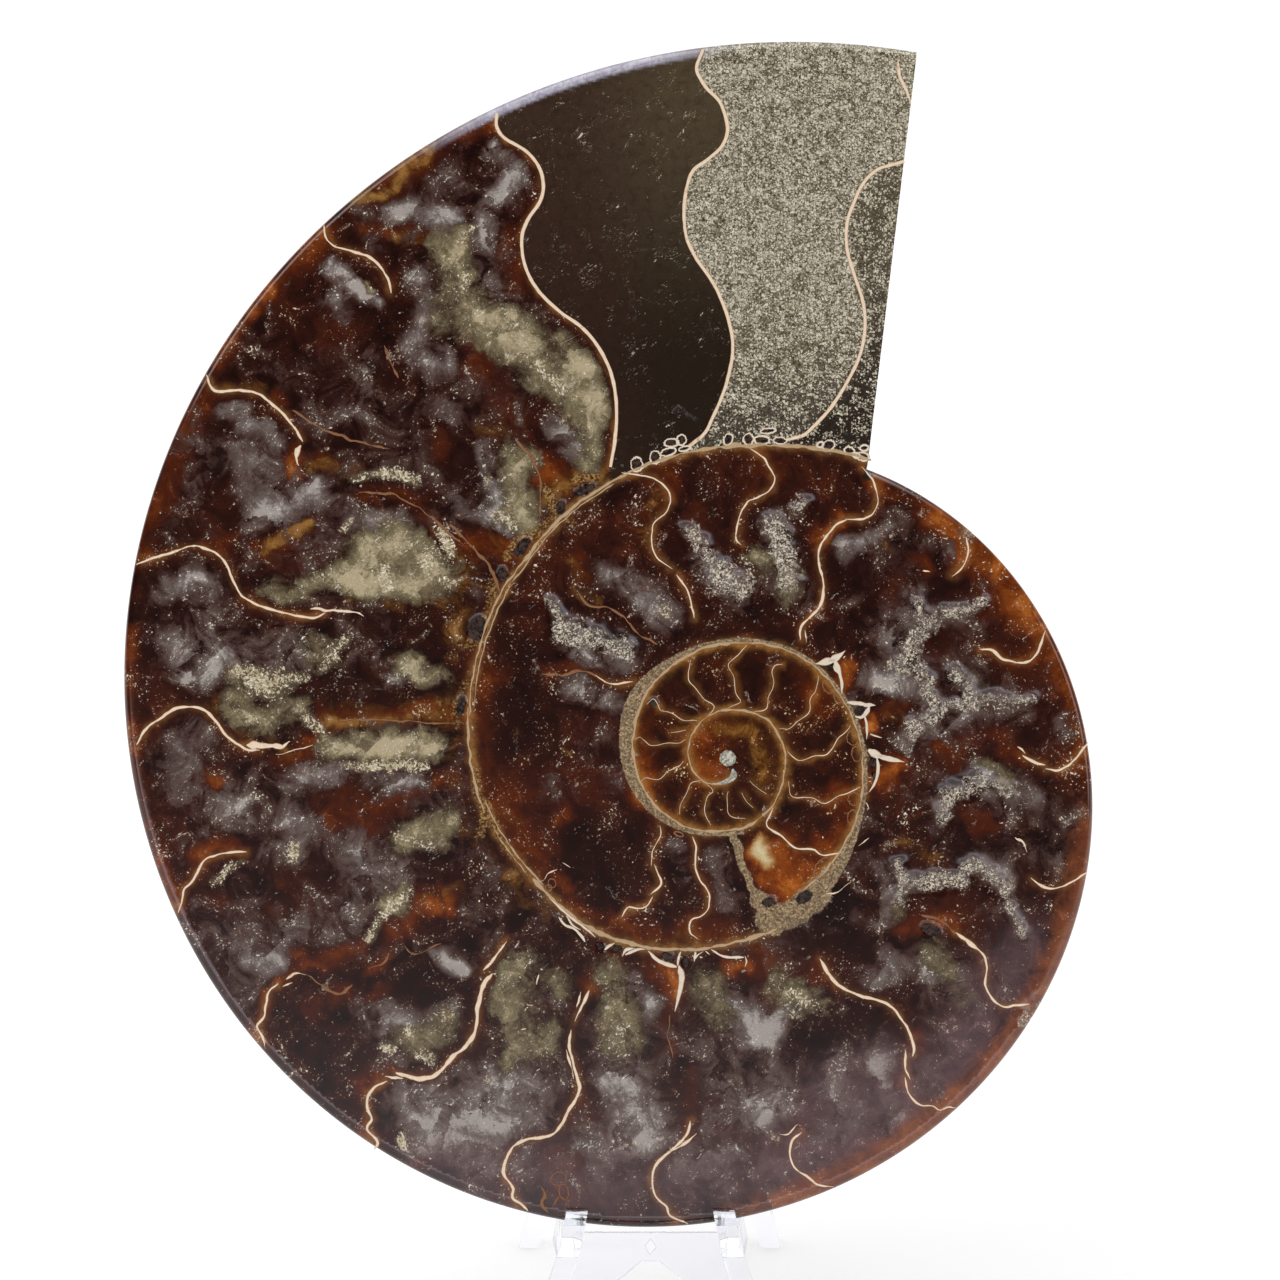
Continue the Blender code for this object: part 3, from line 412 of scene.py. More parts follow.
GOLDEN = (
    (2.2, 0.8, -19,44, -24,42.5, -28,39.5, -31,36.5), (2, 0.5, -31,37, -36,31.5, -39,25, -41,17),
    (2, 0.5, -42,14, -42.5,6, -41,-2), (1.8, 0.5, -41,-4, -38.5,-11, -34.5,-17),
    (1.6, 0.6, -33,-18, -27,-24), (1.3, 0.95, -70,33, -66,34.6, -63.3,36.3),
    (2.6, 0.75, -1,5.6, 3,5, 5,2, 5,-1.5), (1.3, 0.9, -56,84.8, -52,87, -48.5,90.3, -45,92.6),
    (1.4, 0.6, -12,-27.2, -2,-27.8, 8,-26), (1.5, 0.7, -50,79.5, -46,79),
    (1.4, 0.8, -61,6.4, -52,6, -44,5.6), (1.2, 0.6, -60,9, -50,9, -44,8.6), (2, 0.6, -77,9, -73,4, -68,1),
    (1.5, 0.5, -76,57, -71,57.5), (1.6, 0.7, -64,45, -60,46, -57,45), (2, 0.7, -36.5,51, -34.5,50),
    (1.5, 0.7, -57,24.5, -50,23.5, -44,24), (1.6, 0.7, -44,37, -41,30, -41,26),
    (1.6, 0.55, -43,24, -41,18), (1.2, 0.6, -45,-21, -41,-19), (1.5, 0.6, -24,30, -22.5,26, -20,24.5),
    (1.4, 0.6, -12,33, -11.5,40), (1.3, 0.6, 20,35, 24,33), (1.2, 0.6, 26,-12, 32,-14),
    (1.3, 0.5, 25,9, 27,6), (0.7, 0.95, -24.8,1.8, -24,0.8), (0.8, 0.6, -33.3,-8.3, -30.8,-8.2),
    (0.8, 0.5, -32.4,4, -31.6,2.9),
)
# painted sheen: mauve strokes low on the face, for the pale surface mirrored there
PAINTED_SHEEN_STROKES = (
    (7, 0.9, 8,-62, 24,-56, 36,-46), (5, 0.5, -44,-60, -24,-64, -4,-64), (5, 0.75, 38,-42, 46,-28),
    (4, 0.6, 14,-50, 24,-46),
)
PALE_CORE = ((1.7, 1, 5.5,-12, 6,-14.8),)
DARK = (
    (1.5, 0.8, -60,9, -50,9.4, -43,10), (2, 0.7, -60,12.5, -56,13.5), (2.5, 0.7, -39,44, -38,41),
    (3, 0.6, -48,-34, -44,-34), (4, 0.8, -32,14, -31,4), (3.5, 0.8, -22,-13, -18,-19),
    (3, 0.6, 26,-41, 20,-40, 12,-42), (2, 0.7, 22,-28, 12,-27), (2, 0.6, 33,-10.8, 41,-13),
    (2, 0.7, 15,30, 18,28),
)
WEDGE = (
    (0.5, 1, 1,-11.2, 2.2,-15, 3.8,-19, 5,-21), (1.2, 1, 5,-21, 6.5,-23.5),
    (1.8, 1, 6.5,-24, 9,-23.5, 11,-22.5, 14,-20), (1.2, 1, 13,-20.5, 16,-17),
)
WALL_KNOTS = (
    (1, 0.8, -27.5,41.5, -26,38, -27.5,36), (0.9, 0.8, -23,43, -20,43.3),
    (0.9, 0.8, -33.5,31.5, -31,34, -29,34.8), (0.9, 0.7, -35.5,27.5, -36,24),
    (0.9, 0.7, -36.5,22, -39.5,18), (0.8, 0.6, -39.5,12, -41.2,9, -41,5.5),
    (0.9, 0.7, -38.4,-1, -37.5,-5, -35.5,-9, -33,-14), (0.8, 0.7, -36.5,-7, -37.5,-11),
    (0.7, 0.6, -24.5,37, -23.5,36),
)

# which fields are stored together on the face's mesh
FIELD_GROUPS = {
    "calcite": ("grey", "green", "cream"), "stain": ("stain", "knots", "gilded"),
    "rough": ("druse", "matrix", "opening"), "zone": ("living", "pyrite", "dark"),
    "core": ("golden", "pale", "inner"), "rim": ("lit", "veil", "rust"),
}

# strips of the wall between the whorls: from and to in degrees unwound, offset outwards, width
WALL_STRIPS = (
    (-64.4, -104, 0, 0.55), (-103, -136, 0, 0.48), (-112, -140, -0.55, 0.22), (-134, -170, 0.1, 0.26),
    (-140, -168, -0.6, 0.2), (-168, -192, 0.3, 0.36), (-189, -214, -0.5, 0.24), (-195, -209, 0.2, 0.2),
    (-211, -258, -0.1, 0.58), (-256, -287, 0, 0.55), (-300, -372, 0, 0.35), (-372, -440, 0.1, 0.3),
    (-440, -560, 0, 0.45), (-560, -660, 0, 0.35), (-660, -835, 0, 0.3), (-835, -1004, 0, 0.24),
)

# the first chamber, as middle, half width, half height and turn, and the line of its tail
FIRST_CHAMBER = (0.15, 0.5, 1.25, 1.2, 0)
FIRST_TAIL = (0.9,-1.1, 1.1,-1.9, 0.7,-2.6, -0.2,-3.1, -1.3,-3.4, -2.2,-3.3)

# sandy band outside the whorl wall: least thickness, then bulges as height, middle, spread in degrees
BAND = 0.8
BAND_BULGES = ((1.3, 185.0, 50.0), (0.7, 215.0, 20.0), (1.6, 50.0, 20.0))

# stretches of the rim, in degrees: middle, reach either way, softness of the ends; then width
# the first is a painted highlight: a pale band where the top of the polished rim would mirror the ceiling
# light
PAINTED_HIGHLIGHT_STRETCH = (257.0, 14.0, 7.0, 0.5)
# the second an orange-brown band along the rim, low on the right
ORANGE_RIM_STRETCH = (48.0, 46.0, 12.0, 3.6)

# ---- face geometry ----

FACE_POINT = 0.5  # spacing of the face's vertices
CORE_POINT = 0.36  # spacing inside the inner whorls
CORE_REACH = 21.0  # radius that holds the inner whorls
MEAN_RADIUS = 75.0  # sets how many points the outline gets
BACK_CORNER = 0.9  # where the hidden back lies on the flat map, and how large it is there
BACK_SIZE = 0.09
RIM_STEPS = (0.12, 0.4, 1.0)  # rows of the rounded rim, as shares of its depth
NOTCH_OUT = 0.4  # the CAD's inner corner of the mouth stands out by this much
FACE_CREASE = math.radians(50.0)  # edges sharper than these stay sharp
SIDE_CREASE = math.radians(40.0)
STRIP_CREASE = math.radians(35.0)
SPOKES = 400  # sections round the last whorl
MOUTH_SPOKES = 48  # and across the mouth
RINGS_A_TURN = 30  # rows between one whorl and the next
VENTER_ROWS = 8  # further rows in the first of these
TURNS = 4  # of the natural side
LEAST_CLIFF = 0.05  # a smaller step down between the whorls is closed
COIL_CUT = math.radians(-284.0)  # the matrix band and the inner whorls start at this wall angle
STROKE_REACH = 2.0  # a stroke fades out at this many half widths
FIELD_EDGE = 0.2  # a field that ends at a wall fades out over this
WALL_REACH = 4.0  # walls stain the stone no further than this
NOISE_CELLS = 128  # cells of noise before it repeats
LINE_STEP = 0.4  # spacing along the lines of shell
PROUD = 0.02  # lines of shell stand this far off the face
SUNK = 0.3  # and reach this deep into it
SLIM = 0.74  # share of the width listed for the septa and flakes
CORE_SLIM = 0.55  # and of that inside the inner whorls
SWELL = 20.0  # how far a ragged line's width varies
LEAST_WIDTH = 0.06
DRUSE_DEPTH = 0.4  # of the hollows in the face
OPENING_DEPTH = 0.7
RING_PROUD = 0.003  # discs of painted shade in the openings stand off the face by these, and each by a hair more
CELL_PROUD = 0.005
HAIR = 0.0001

# ---- stage, in metres and radians ----

FLOOR_REACH = 6.0  # half the floor's side
VIEW_CENTRE = (-13.2, 18.5)  # middle of the view on the face, in millimetres
SHEEN_SIDE = (-0.14, -0.99)  # the face mirrors a pale surface low and a little left of it
SHEEN_RISE = (0.06, 0.19)  # cosines between which that surface comes into view
SHEEN_LIMIT = (0.86, 0.72)  # and out of it again, away from the camera
CEILING_RISE = (0.72, 0.95)  # cosines for the ceiling, and for the backdrop behind the camera
BACKDROP_RISE = (-0.3, -0.8)
SHEEN_LIGHT = 3.8  # how bright each is in gloss
CEILING_LIGHT = 4.0
BACKDROP_LIGHT = 1.2
# name, watts, size, place
KEY_LIGHTS = (
    ("soft_box_left", 9.0, 0.9, (-1.3, -0.9, 1.5)),
    ("soft_box_right", 5.0, 0.8, (1.5, -0.7, 0.6)),
)


def rising(values, span):
    """0 up to nothing, growing to 1 over a span."""
    return np.clip(values / span, 0.0, 1.0)


def bell(away, spread):
    """1 at no distance away, falling off smoothly over a spread."""
    return np.exp(-(away / spread) ** 2)


def venter_radius(angle):
    """Outer radius of the shell at a growth angle, or at an array of them."""
    return VENTER_RADIUS * np.exp(GROWTH * angle - DRIFT * np.cos(angle - DRIFT_ANGLE))


def on_face(angle, radius):
    """Place on the face at a growth angle and a radius; the shell grows clockwise."""
    return np.stack([radius * np.cos(angle), -radius * np.sin(angle)], axis=-1)


def wall_radius(angle):
    """Radius of the wall between the whorls, at growth angles unwound inwards from the mouth."""
    degrees, radii = np.array(WALL[::-1]).T
    return np.exp(np.interp(np.degrees(angle), degrees, np.log(radii)))


def mouth_line(share):
    """Place along the saw cut across the mouth, from the venter inwards."""
    outer = on_face(MOUTH_OUTER, venter_radius(MOUTH_OUTER))
    inner = on_face(START, venter_radius(START))
    return outer + np.multiply.outer(share, inner - outer)


def flank_depth(angle, radius):
    """Depth of the shell's natural side, with the umbilicus as a stepped funnel."""
    outer = venter_radius(angle)
    shoulder = UMBILICUS * outer
    across = rising(radius - shoulder, outer - shoulder)
    flank = RIM + HALF_BREADTH * outer * (1.0 - across ** FLANK_POWER) ** VENTER_POWER
    turns = np.log(radius / outer / UMBILICUS) / (GROWTH * math.tau)
    step = 1.0 - WHORL_STEP[0] * (turns % 1.0) ** WHORL_STEP[1]
    funnel = np.maximum(PLUG_DEPTH + (radius - FUNNEL_START) * HALF_BREADTH / UMBILICUS, PLUG_DEPTH) * step
    return np.where(radius < shoulder, np.minimum(funnel, flank), flank)


def face_outline(depth):
    """Outline of the polished slab at a depth, clockwise from the mouth's inner end."""
    inset = RIM * (1.0 - math.sin(math.acos(max(1.0 - depth / RIM, 0.0))))
    length = np.linalg.norm(mouth_line(1.0) - mouth_line(0.0))
    count = round((MOUTH_OUTER - START) * MEAN_RADIUS / FACE_POINT)
    angles = np.linspace(START, MOUTH_OUTER, count)
    venter = on_face(angles, venter_radius(angles) - inset)
    steps = round(np.ptp(mouth_line(np.array([0.0, 1.0]))[:, 1]) / FACE_POINT)
    cut = mouth_line(np.linspace(inset / length, 1.0, steps + 1)[1:-1])
    return np.concatenate([venter, cut])


class Face:
    """Where the sawn face lies, read from the fossil's CAD node."""

    def __init__(self, node):
        mesh = node.data
        corners = np.array([vertex.co[:] for vertex in mesh.vertices])
        areas = {}
        for polygon in mesh.polygons:
            key = tuple(round(part, 3) for part in polygon.normal)
            areas.setdefault(key, [0.0, Vector()])
            areas[key][0] += polygon.area
            areas[key][1] += polygon.normal * polygon.area
        out = max(areas.values(), key=lambda entry: entry[0])[1].normalized()
        self.out = np.array(out)
        self.right = np.array((1.0, 0.0, 0.0))
        self.up = np.cross(self.out, self.right)
        heights = corners @ self.out
        flat = corners[heights > heights.max() - 1e-5]
        drawn = np.stack([flat @ self.right, flat @ self.up], axis=-1) / MM
        outline = face_outline(0.0)
        rough = drawn.min(axis=0) - outline.min(axis=0)
        notch = mouth_line(np.array(1.0))
        nearest = drawn[np.argmin(np.linalg.norm(drawn - rough - notch, axis=1))]
        pole = nearest - notch * (1.0 + NOTCH_OUT / np.linalg.norm(notch))
        self.pole = (pole[0] * self.right + pole[1] * self.up) * MM + heights.max() * self.out

    def place(self, points, depth=0.0):
        """World places of points in millimetres on the face, at depths below it."""
        points = np.asarray(points, dtype=float)
        across = np.multiply.outer(points[..., 0], self.right)
        along = np.multiply.outer(points[..., 1], self.up)
        inward = np.multiply.outer(np.broadcast_to(depth, points.shape[:-1]), self.out)
        return self.pole + (across + along - inward) * MM

    def depth(self, place):
        """Depth of a world place below the face, in millimetres."""
        return float((self.pole - np.array(place)) @ self.out) / MM


FACE = Face(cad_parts["ammonite_half"])


# ---- seeded noise and distances ----

def value_noise(points, cell, seed):
    """Smooth noise from 0 to 1 at places on the face."""
    table = np.random.default_rng(seed).random((NOISE_CELLS, NOISE_CELLS))
    scaled = points / cell
    base = np.floor(scaled).astype(int)
    share = scaled - base
    share = share * share * (3.0 - 2.0 * share)
    x, y = base[:, 0] % NOISE_CELLS, base[:, 1] % NOISE_CELLS
    right, above = (x + 1) % NOISE_CELLS, (y + 1) % NOISE_CELLS
    lower = table[x, y] * (1 - share[:, 0]) + table[right, y] * share[:, 0]
    upper = table[x, above] * (1 - share[:, 0]) + table[right, above] * share[:, 0]
    return lower * (1 - share[:, 1]) + upper * share[:, 1]


def fractal(points, cell, seed, octaves=3):
    """Noise from 0 to 1 with finer noise on top."""
    total = np.zeros(len(points))
    weight = 0.0
    for octave in range(octaves):
        part = 0.55 ** octave
        total += part * value_noise(points, cell / 2 ** octave, seed + octave)
        weight += part
    return total / weight


def warped(points, reach, cell, seed):
    """Points pushed about by noise, so that what is drawn through them gets an organic edge."""
    push = np.stack([fractal(points, cell, seed), fractal(points, cell, seed + 50)], axis=-1)
    return points + (push - 0.5) * 2.0 * reach


def pairs(numbers):
    """A row of x,y pairs as points."""
    return np.reshape(numbers, (-1, 2)).astype(float)


def smooth_line(points, step=LINE_STEP):
    """Evenly spaced points on a curve through the given ones."""
    points = pairs(points)
    if len(points) == 2:
        curve = points
    else:
        padded = np.concatenate([[2 * points[0] - points[1]], points, [2 * points[-1] - points[-2]]])
        pieces = []
        for a, b, c, d in zip(padded, padded[1:], padded[2:], padded[3:]):
            t = np.linspace(0.0, 1.0, 9)[:-1, None]
            pieces.append(0.5 * (2 * b + (c - a) * t + (2 * a - 5 * b + 4 * c - d) * t ** 2
                                 + (3 * b - a - 3 * c + d) * t ** 3))
        curve = np.concatenate(pieces + [points[-1:]])
    travel = np.concatenate([[0.0], np.cumsum(np.linalg.norm(np.diff(curve, axis=0), axis=1))])
    count = max(2, round(travel[-1] / step) + 1)
    along = np.linspace(0.0, travel[-1], count)
    return np.stack([np.interp(along, travel, curve[:, i]) for i in (0, 1)], axis=-1)


def line_distance(points, line, reach):
    """Distance of points from a line, up to a reach."""
    found = np.full(len(points), reach)
    for start, end in zip(line, line[1:]):
        low, high = np.minimum(start, end) - reach, np.maximum(start, end) + reach
        near = np.nonzero(np.all((points > low) & (points < high), axis=1))[0]
        along = end - start
        share = np.clip((points[near] - start) @ along / max(along @ along, 1e-9), 0.0, 1.0)
        away = np.linalg.norm(points[near] - start - share[:, None] * along, axis=1)
        found[near] = np.minimum(found[near], away)
    return found


def stroke_field(points, strokes):
    """Strength from 0 to 1 left by soft strokes; overlapping ones add up without passing 1."""
    left = np.ones(len(points))
    for width, strength, *numbers in strokes:
        reach = width * STROKE_REACH
        away = line_distance(points, pairs(numbers), reach) / reach
        left *= 1.0 - strength * (1.0 - away * away) ** 3
    return 1.0 - left


def beyond(points, line, softness=0.25):
    """1 to the right of a line that runs down the face, 0 to its left."""
    line = smooth_line(line)
    order = np.argsort(line[:, 1])
    edge = np.interp(points[:, 1], line[order, 1], line[order, 0])
    return np.clip((points[:, 0] - edge) / softness + 0.5, 0.0, 1.0)


def whorl_walls():
    """The wall between the whorls as one line, from the mouth to the middle."""
    angles = np.radians(np.arange(WALL[0][0], WALL[-1][0], -2.0))
    return on_face(angles, wall_radius(angles))


# ---- colour fields of the face ----

def rim_stretch(degrees, within, middle, reach, softness, width):
    """1 on the rim along a stretch of it, falling to 0 at the stretch's ends and inwards."""
    return (1.0 - rising(within, width)) * rising(reach - np.abs(degrees - middle), softness)


def face_fields(points):
    """Every field that the face's material reads, by name, at the face's vertices."""
    angle = np.arctan2(-points[:, 1], points[:, 0])
    angle = np.where(angle < START, angle + math.tau, angle)
    degrees = np.degrees(angle)
    radius = np.linalg.norm(points, axis=1)
    last = radius > wall_radius(angle - math.tau)
    coil = np.mod(angle - COIL_CUT, math.tau) + COIL_CUT - math.tau
    coil_wall, disc_wall = wall_radius(coil), wall_radius(coil - math.tau)
    inner = rising(coil_wall - radius, FIELD_EDGE)
    drawn = warped(warped(points, 1.6, 6.0, 11), 0.9, 2.2, 17)
    fine = warped(points, 0.6, 1.6, 23)
    living = beyond(points, LAST_SEPTUM) * last * (points[:, 1] > 43.0)
    stone = 1.0 - living

    # stain: the strokes, and a patchy glow along the walls and the rim
    septa = np.full(len(points), WALL_REACH)
    for _, *line in SEPTA:
        septa = np.minimum(septa, line_distance(fine, pairs(line), WALL_REACH))
    wall = line_distance(fine, whorl_walls(), WALL_REACH)
    rim = rising(venter_radius(angle) - radius, 5.0)
    patchy = fractal(points, 7.0, 71)
    glow = np.exp(-septa / 0.9) * (0.62 - 0.34 * inner) + np.exp(-wall / 1.0) * (0.45 - 0.25 * inner)
    glow = np.clip(glow * (0.25 + 1.3 * patchy) + (1.0 - rim) ** 3 * 0.4 * patchy, 0.0, 1.0)
    disc = rising(disc_wall - radius, FIELD_EDGE)
    warmth = 0.03 * inner + disc * 0.34 * rising(-340.0 - np.degrees(coil), 220.0)
    orange, amber, red = [stroke_field(drawn, strokes) for strokes in (ORANGE, AMBER, RED)]
    stain = 1.0 - (1.0 - 0.8 * orange) * (1.0 - 0.5 * amber) * (1.0 - 0.3 * red)
    stain = 1.0 - (1.0 - stain) * (1.0 - 0.62 * glow) * (1.0 - warmth)

    # calcite: the strokes and a light haze, kept clear of the walls and the dark parts; the wide grey
    # strokes low on the face also paint in the pale sheen mirrored there
    quiet = 1.0 - 0.85 * bell(septa, 0.9)
    dark = stroke_field(drawn, DARK)
    kept = stone * quiet * (1.0 - 0.9 * dark)
    haze = np.clip(fractal(points, 9.0, 91, 4) * 1.8 - 0.74, 0.0, 0.24)
    haze *= (0.3 + 0.7 * last) * (1.0 - 0.8 * inner)

    # sandy band outside the whorl wall, and gold inside it and along the walls
    thickness = np.full(len(points), BAND)
    for height, middle, spread in BAND_BULGES:
        thickness += height * bell(degrees - middle, spread)
    outside = radius - coil_wall
    band = rising(thickness - outside, 0.3) * rising(outside, FIELD_EDGE)
    gilded = 0.7 * np.exp(-np.clip(coil_wall - radius, 0.0, 9.0) / 0.35) * inner
    gilded = gilded + 0.6 * np.exp(-np.clip(disc_wall - radius, 0.0, 9.0) / 0.35) * disc
    gilded = gilded + 0.8 * bell(wall, 0.7) + 0.8 * stone * patchy * bell(septa, 0.55)
    within = np.maximum(venter_radius(angle) - RIM - radius, 0.0)
    crowd = rising(points[:, 1] - 50.0, 22.0) * 0.4 + 0.38
    crowd = crowd * (1.0 - 0.42 * beyond(points, LIVING_OUTER, 3.0) * (points[:, 1] < 92.0))
    return {
        "grey": np.maximum(stroke_field(drawn, GREY), haze) * kept,
        "green": stroke_field(drawn, GREEN) * kept,
        "cream": stroke_field(fine, CREAM) * kept,
        "stain": stain * stone,
        "knots": stroke_field(fine, WALL_KNOTS) * stone,
        "gilded": np.clip(gilded, 0.0, 1.0),
        "druse": stroke_field(fine, DRUSE),
        "matrix": np.clip(np.maximum(band, stroke_field(fine, WEDGE) * 1.6), 0.0, 1.0),
        "opening": np.maximum.reduce([in_ellipse(points, *cell) for cell in CELLS]),
        "living": living,
        "pyrite": beyond(points, LIVING_INNER) * living * crowd,
        "dark": dark,
        "golden": stroke_field(drawn, GOLDEN) * stone,
        "pale": stroke_field(drawn, PALE_CORE),
        "inner": inner,
        # painted highlight along the top of the rim
        "lit": rim_stretch(degrees, within, *PAINTED_HIGHLIGHT_STRETCH),
        # painted sheen low on the face
        "veil": stroke_field(drawn, PAINTED_SHEEN_STROKES) * stone,
        "rust": rim_stretch(degrees, within, *ORANGE_RIM_STRETCH),
    }


# ---- meshes ----

def new_object(name, bm, crease=None):
    """Object from a mesh being built; shaded smooth up to a crease, if one is given."""
    mesh = bpy.data.meshes.new(name)
    bm.to_mesh(mesh)
    bm.free()
    made = bpy.data.objects.new(name, mesh)
    bpy.context.scene.collection.objects.link(made)
    if crease:
        mesh.shade_smooth()
        mesh.set_sharp_from_angle(angle=crease)
    return made


def hexagonal_points(outline, spacing, low, high, margin):
    """Points of a hexagonal lattice between two radii and inside an outline."""
    reach = np.abs(outline).max() + spacing
    rows = np.arange(-reach, reach, spacing * math.sqrt(0.75))
    columns = np.arange(-reach, reach, spacing)
    x, y = np.meshgrid(columns, rows)
    x = x + (np.arange(len(rows)) % 2)[:, None] * spacing / 2
    grid = np.stack([x.ravel(), y.ravel()], axis=-1)
    radius = np.linalg.norm(grid, axis=1)
    angle = np.arctan2(-grid[:, 1], grid[:, 0])
    angle = np.where(angle < START, angle + math.tau, angle)
    keep = (radius >= low) & (radius < high) & (radius < venter_radius(angle) - RIM - margin)
    cut_start, cut_end = mouth_line(np.array([0.0, 1.0]))
    along = (cut_end - cut_start) / np.linalg.norm(cut_end - cut_start)
    inside = (grid - cut_start) @ np.array([along[1], -along[0]])
    # near the mouth, only those on the stone's side of the cut
    beside = (angle > MOUTH_OUTER - 0.3) & (radius > venter_radius(START) - RIM - 1.0)
    keep &= ~beside | (inside > margin)
    return grid[keep]


def sawn_face():
    """Slab with the polished face: a dense flat top, a rounded rim, and its drusy hollows."""
    outline = face_outline(0.0)
    count = len(outline)
    inner = hexagonal_points(outline, CORE_POINT, 0.0, CORE_REACH, CORE_POINT / 2)
    outer = hexagonal_points(outline, FACE_POINT, CORE_REACH, 200.0, FACE_POINT * 0.6)
    given = [Vector(point) for point in np.concatenate([outline, inner, outer])]
    ring = [(i, (i + 1) % count) for i in range(count)]
    plan, _, faces, sources, _, _ = delaunay_2d_cdt(given, ring, [list(range(count))], 1, 1e-5)
    plan = np.array([vertex[:] for vertex in plan])
    place_of = {source: i for i, found in enumerate(sources) for source in found}
    fields = face_fields(plan)
    hollow = fields["druse"] * np.clip(fractal(plan, 1.1, 5, 2) * 1.5 - 0.2, 0.0, 1.0)
    depth = np.maximum(hollow * DRUSE_DEPTH, fields["opening"] * OPENING_DEPTH)

    bm = bmesh.new()
    top = [bm.verts.new(place) for place in FACE.place(plan, depth)]
    for corners in faces:
        bm.faces.new([top[i] for i in corners])
    previous = [top[place_of[i]] for i in range(count)]
    for share in RIM_STEPS:
        below = face_outline(RIM * share)
        row = [bm.verts.new(place) for place in FACE.place(below, RIM * share)]
        for i in range(count):
            after = (i + 1) % count
            bm.faces.new((previous[i], previous[after], row[after], row[i]))
        previous = row
    bm.faces.new(previous[::-1])
    bmesh.ops.recalc_face_normals(bm, faces=bm.faces)
    made = new_object("sawn_face", bm, FACE_CREASE)
    write_fields(made.data, plan, fields)
    write_face_uv(made.data)
    return made


def write_fields(mesh, plan, fields):
    """Store the fields three by three as colours; the rim repeats the face's outermost values."""
    local = face_coordinates(mesh)
    extra = np.arange(len(plan), len(local))
    count = len(face_outline(0.0))
    source = np.concatenate([np.arange(len(plan)), (extra - len(plan)) % count])
    for name, parts in FIELD_GROUPS.items():
        values = np.ones((len(local), 4), dtype=np.float32)
        for channel, part in enumerate(parts):
            values[:, channel] = fields[part][source]
        layer = mesh.attributes.new(name, "FLOAT_COLOR", "POINT")
        layer.data.foreach_set("color", values.ravel())


def face_coordinates(mesh):
    """Vertices of a mesh as millimetres across, up and into the face."""
    places = np.empty(len(mesh.vertices) * 3)
    mesh.vertices.foreach_get("co", places)
    away = (places.reshape(-1, 3) - FACE.pole) / MM
    return np.stack([away @ FACE.right, away @ FACE.up, -(away @ FACE.out)], axis=-1)


def write_face_uv(mesh):
    """Flat map for the OFBake layer: the face and rim at full size, the hidden back small beside them."""
    local = face_coordinates(mesh)
    low, high = local[:, :2].min(axis=0) - 2 * RIM, local[:, :2].max(axis=0) + 2 * RIM
    outward = local[:, :2] / np.maximum(np.linalg.norm(local[:, :2], axis=1), 1.0)[:, None]
    spread = local[:, :2] + outward * np.where(local[:, 2] > 0, local[:, 2], 0.0)[:, None]
    flat = (spread - low) / (high - low).max()
    corner = BACK_CORNER + flat * BACK_SIZE
    back = len(mesh.polygons) - 1
    loops = np.empty(len(mesh.loops), dtype=int)
    mesh.loops.foreach_get("vertex_index", loops)
    places = flat[loops]
    start = mesh.polygons[back].loop_start
    end = start + mesh.polygons[back].loop_total
    places[start:end] = corner[loops[start:end]]
    layer = mesh.uv_layers.new(name="OFBake")
    layer.data.foreach_set("uv", places.ravel())


def in_ellipse(points, x, y, half_width, half_height, turn):
    """1 inside an ellipse on the face, falling to 0 at its edge."""
    turn = math.radians(turn)
    away = points - (x, y)
    across = (away[:, 0] * math.cos(turn) + away[:, 1] * math.sin(turn)) / half_width
    along = (away[:, 1] * math.cos(turn) - away[:, 0] * math.sin(turn)) / half_height
    return rising(1.0 - np.hypot(across, along), 0.3)


# ---- natural side ----

def ring_steps():
    """Rows of the natural side, counted inwards and closer together at the venter; rows in a turn."""
    near_venter = (np.arange(VENTER_ROWS) / VENTER_ROWS) ** 2.2
    one_turn = np.concatenate([near_venter, np.arange(1, RINGS_A_TURN)])
    return np.concatenate([one_turn + RINGS_A_TURN * turn for turn in range(TURNS)]), len(one_turn)


def relief(angle, radii):
    """Depth of the furrows between the shell's ribs, always cut into the smooth shape."""
    outer = venter_radius(angle)
    across = radii / outer
    bend = angle + 0.16 * np.sin(across * 5.2) - 0.10 * across
    furrow = (0.5 - 0.5 * np.cos(bend * RIBS)) * 0.7 + (0.5 - 0.5 * np.cos(bend * FURROWS)) * 0.5
    return furrow * rising(across - 0.3, 0.3) * rising(1.0 - across, 0.08) * FURROW_DEPTH * outer


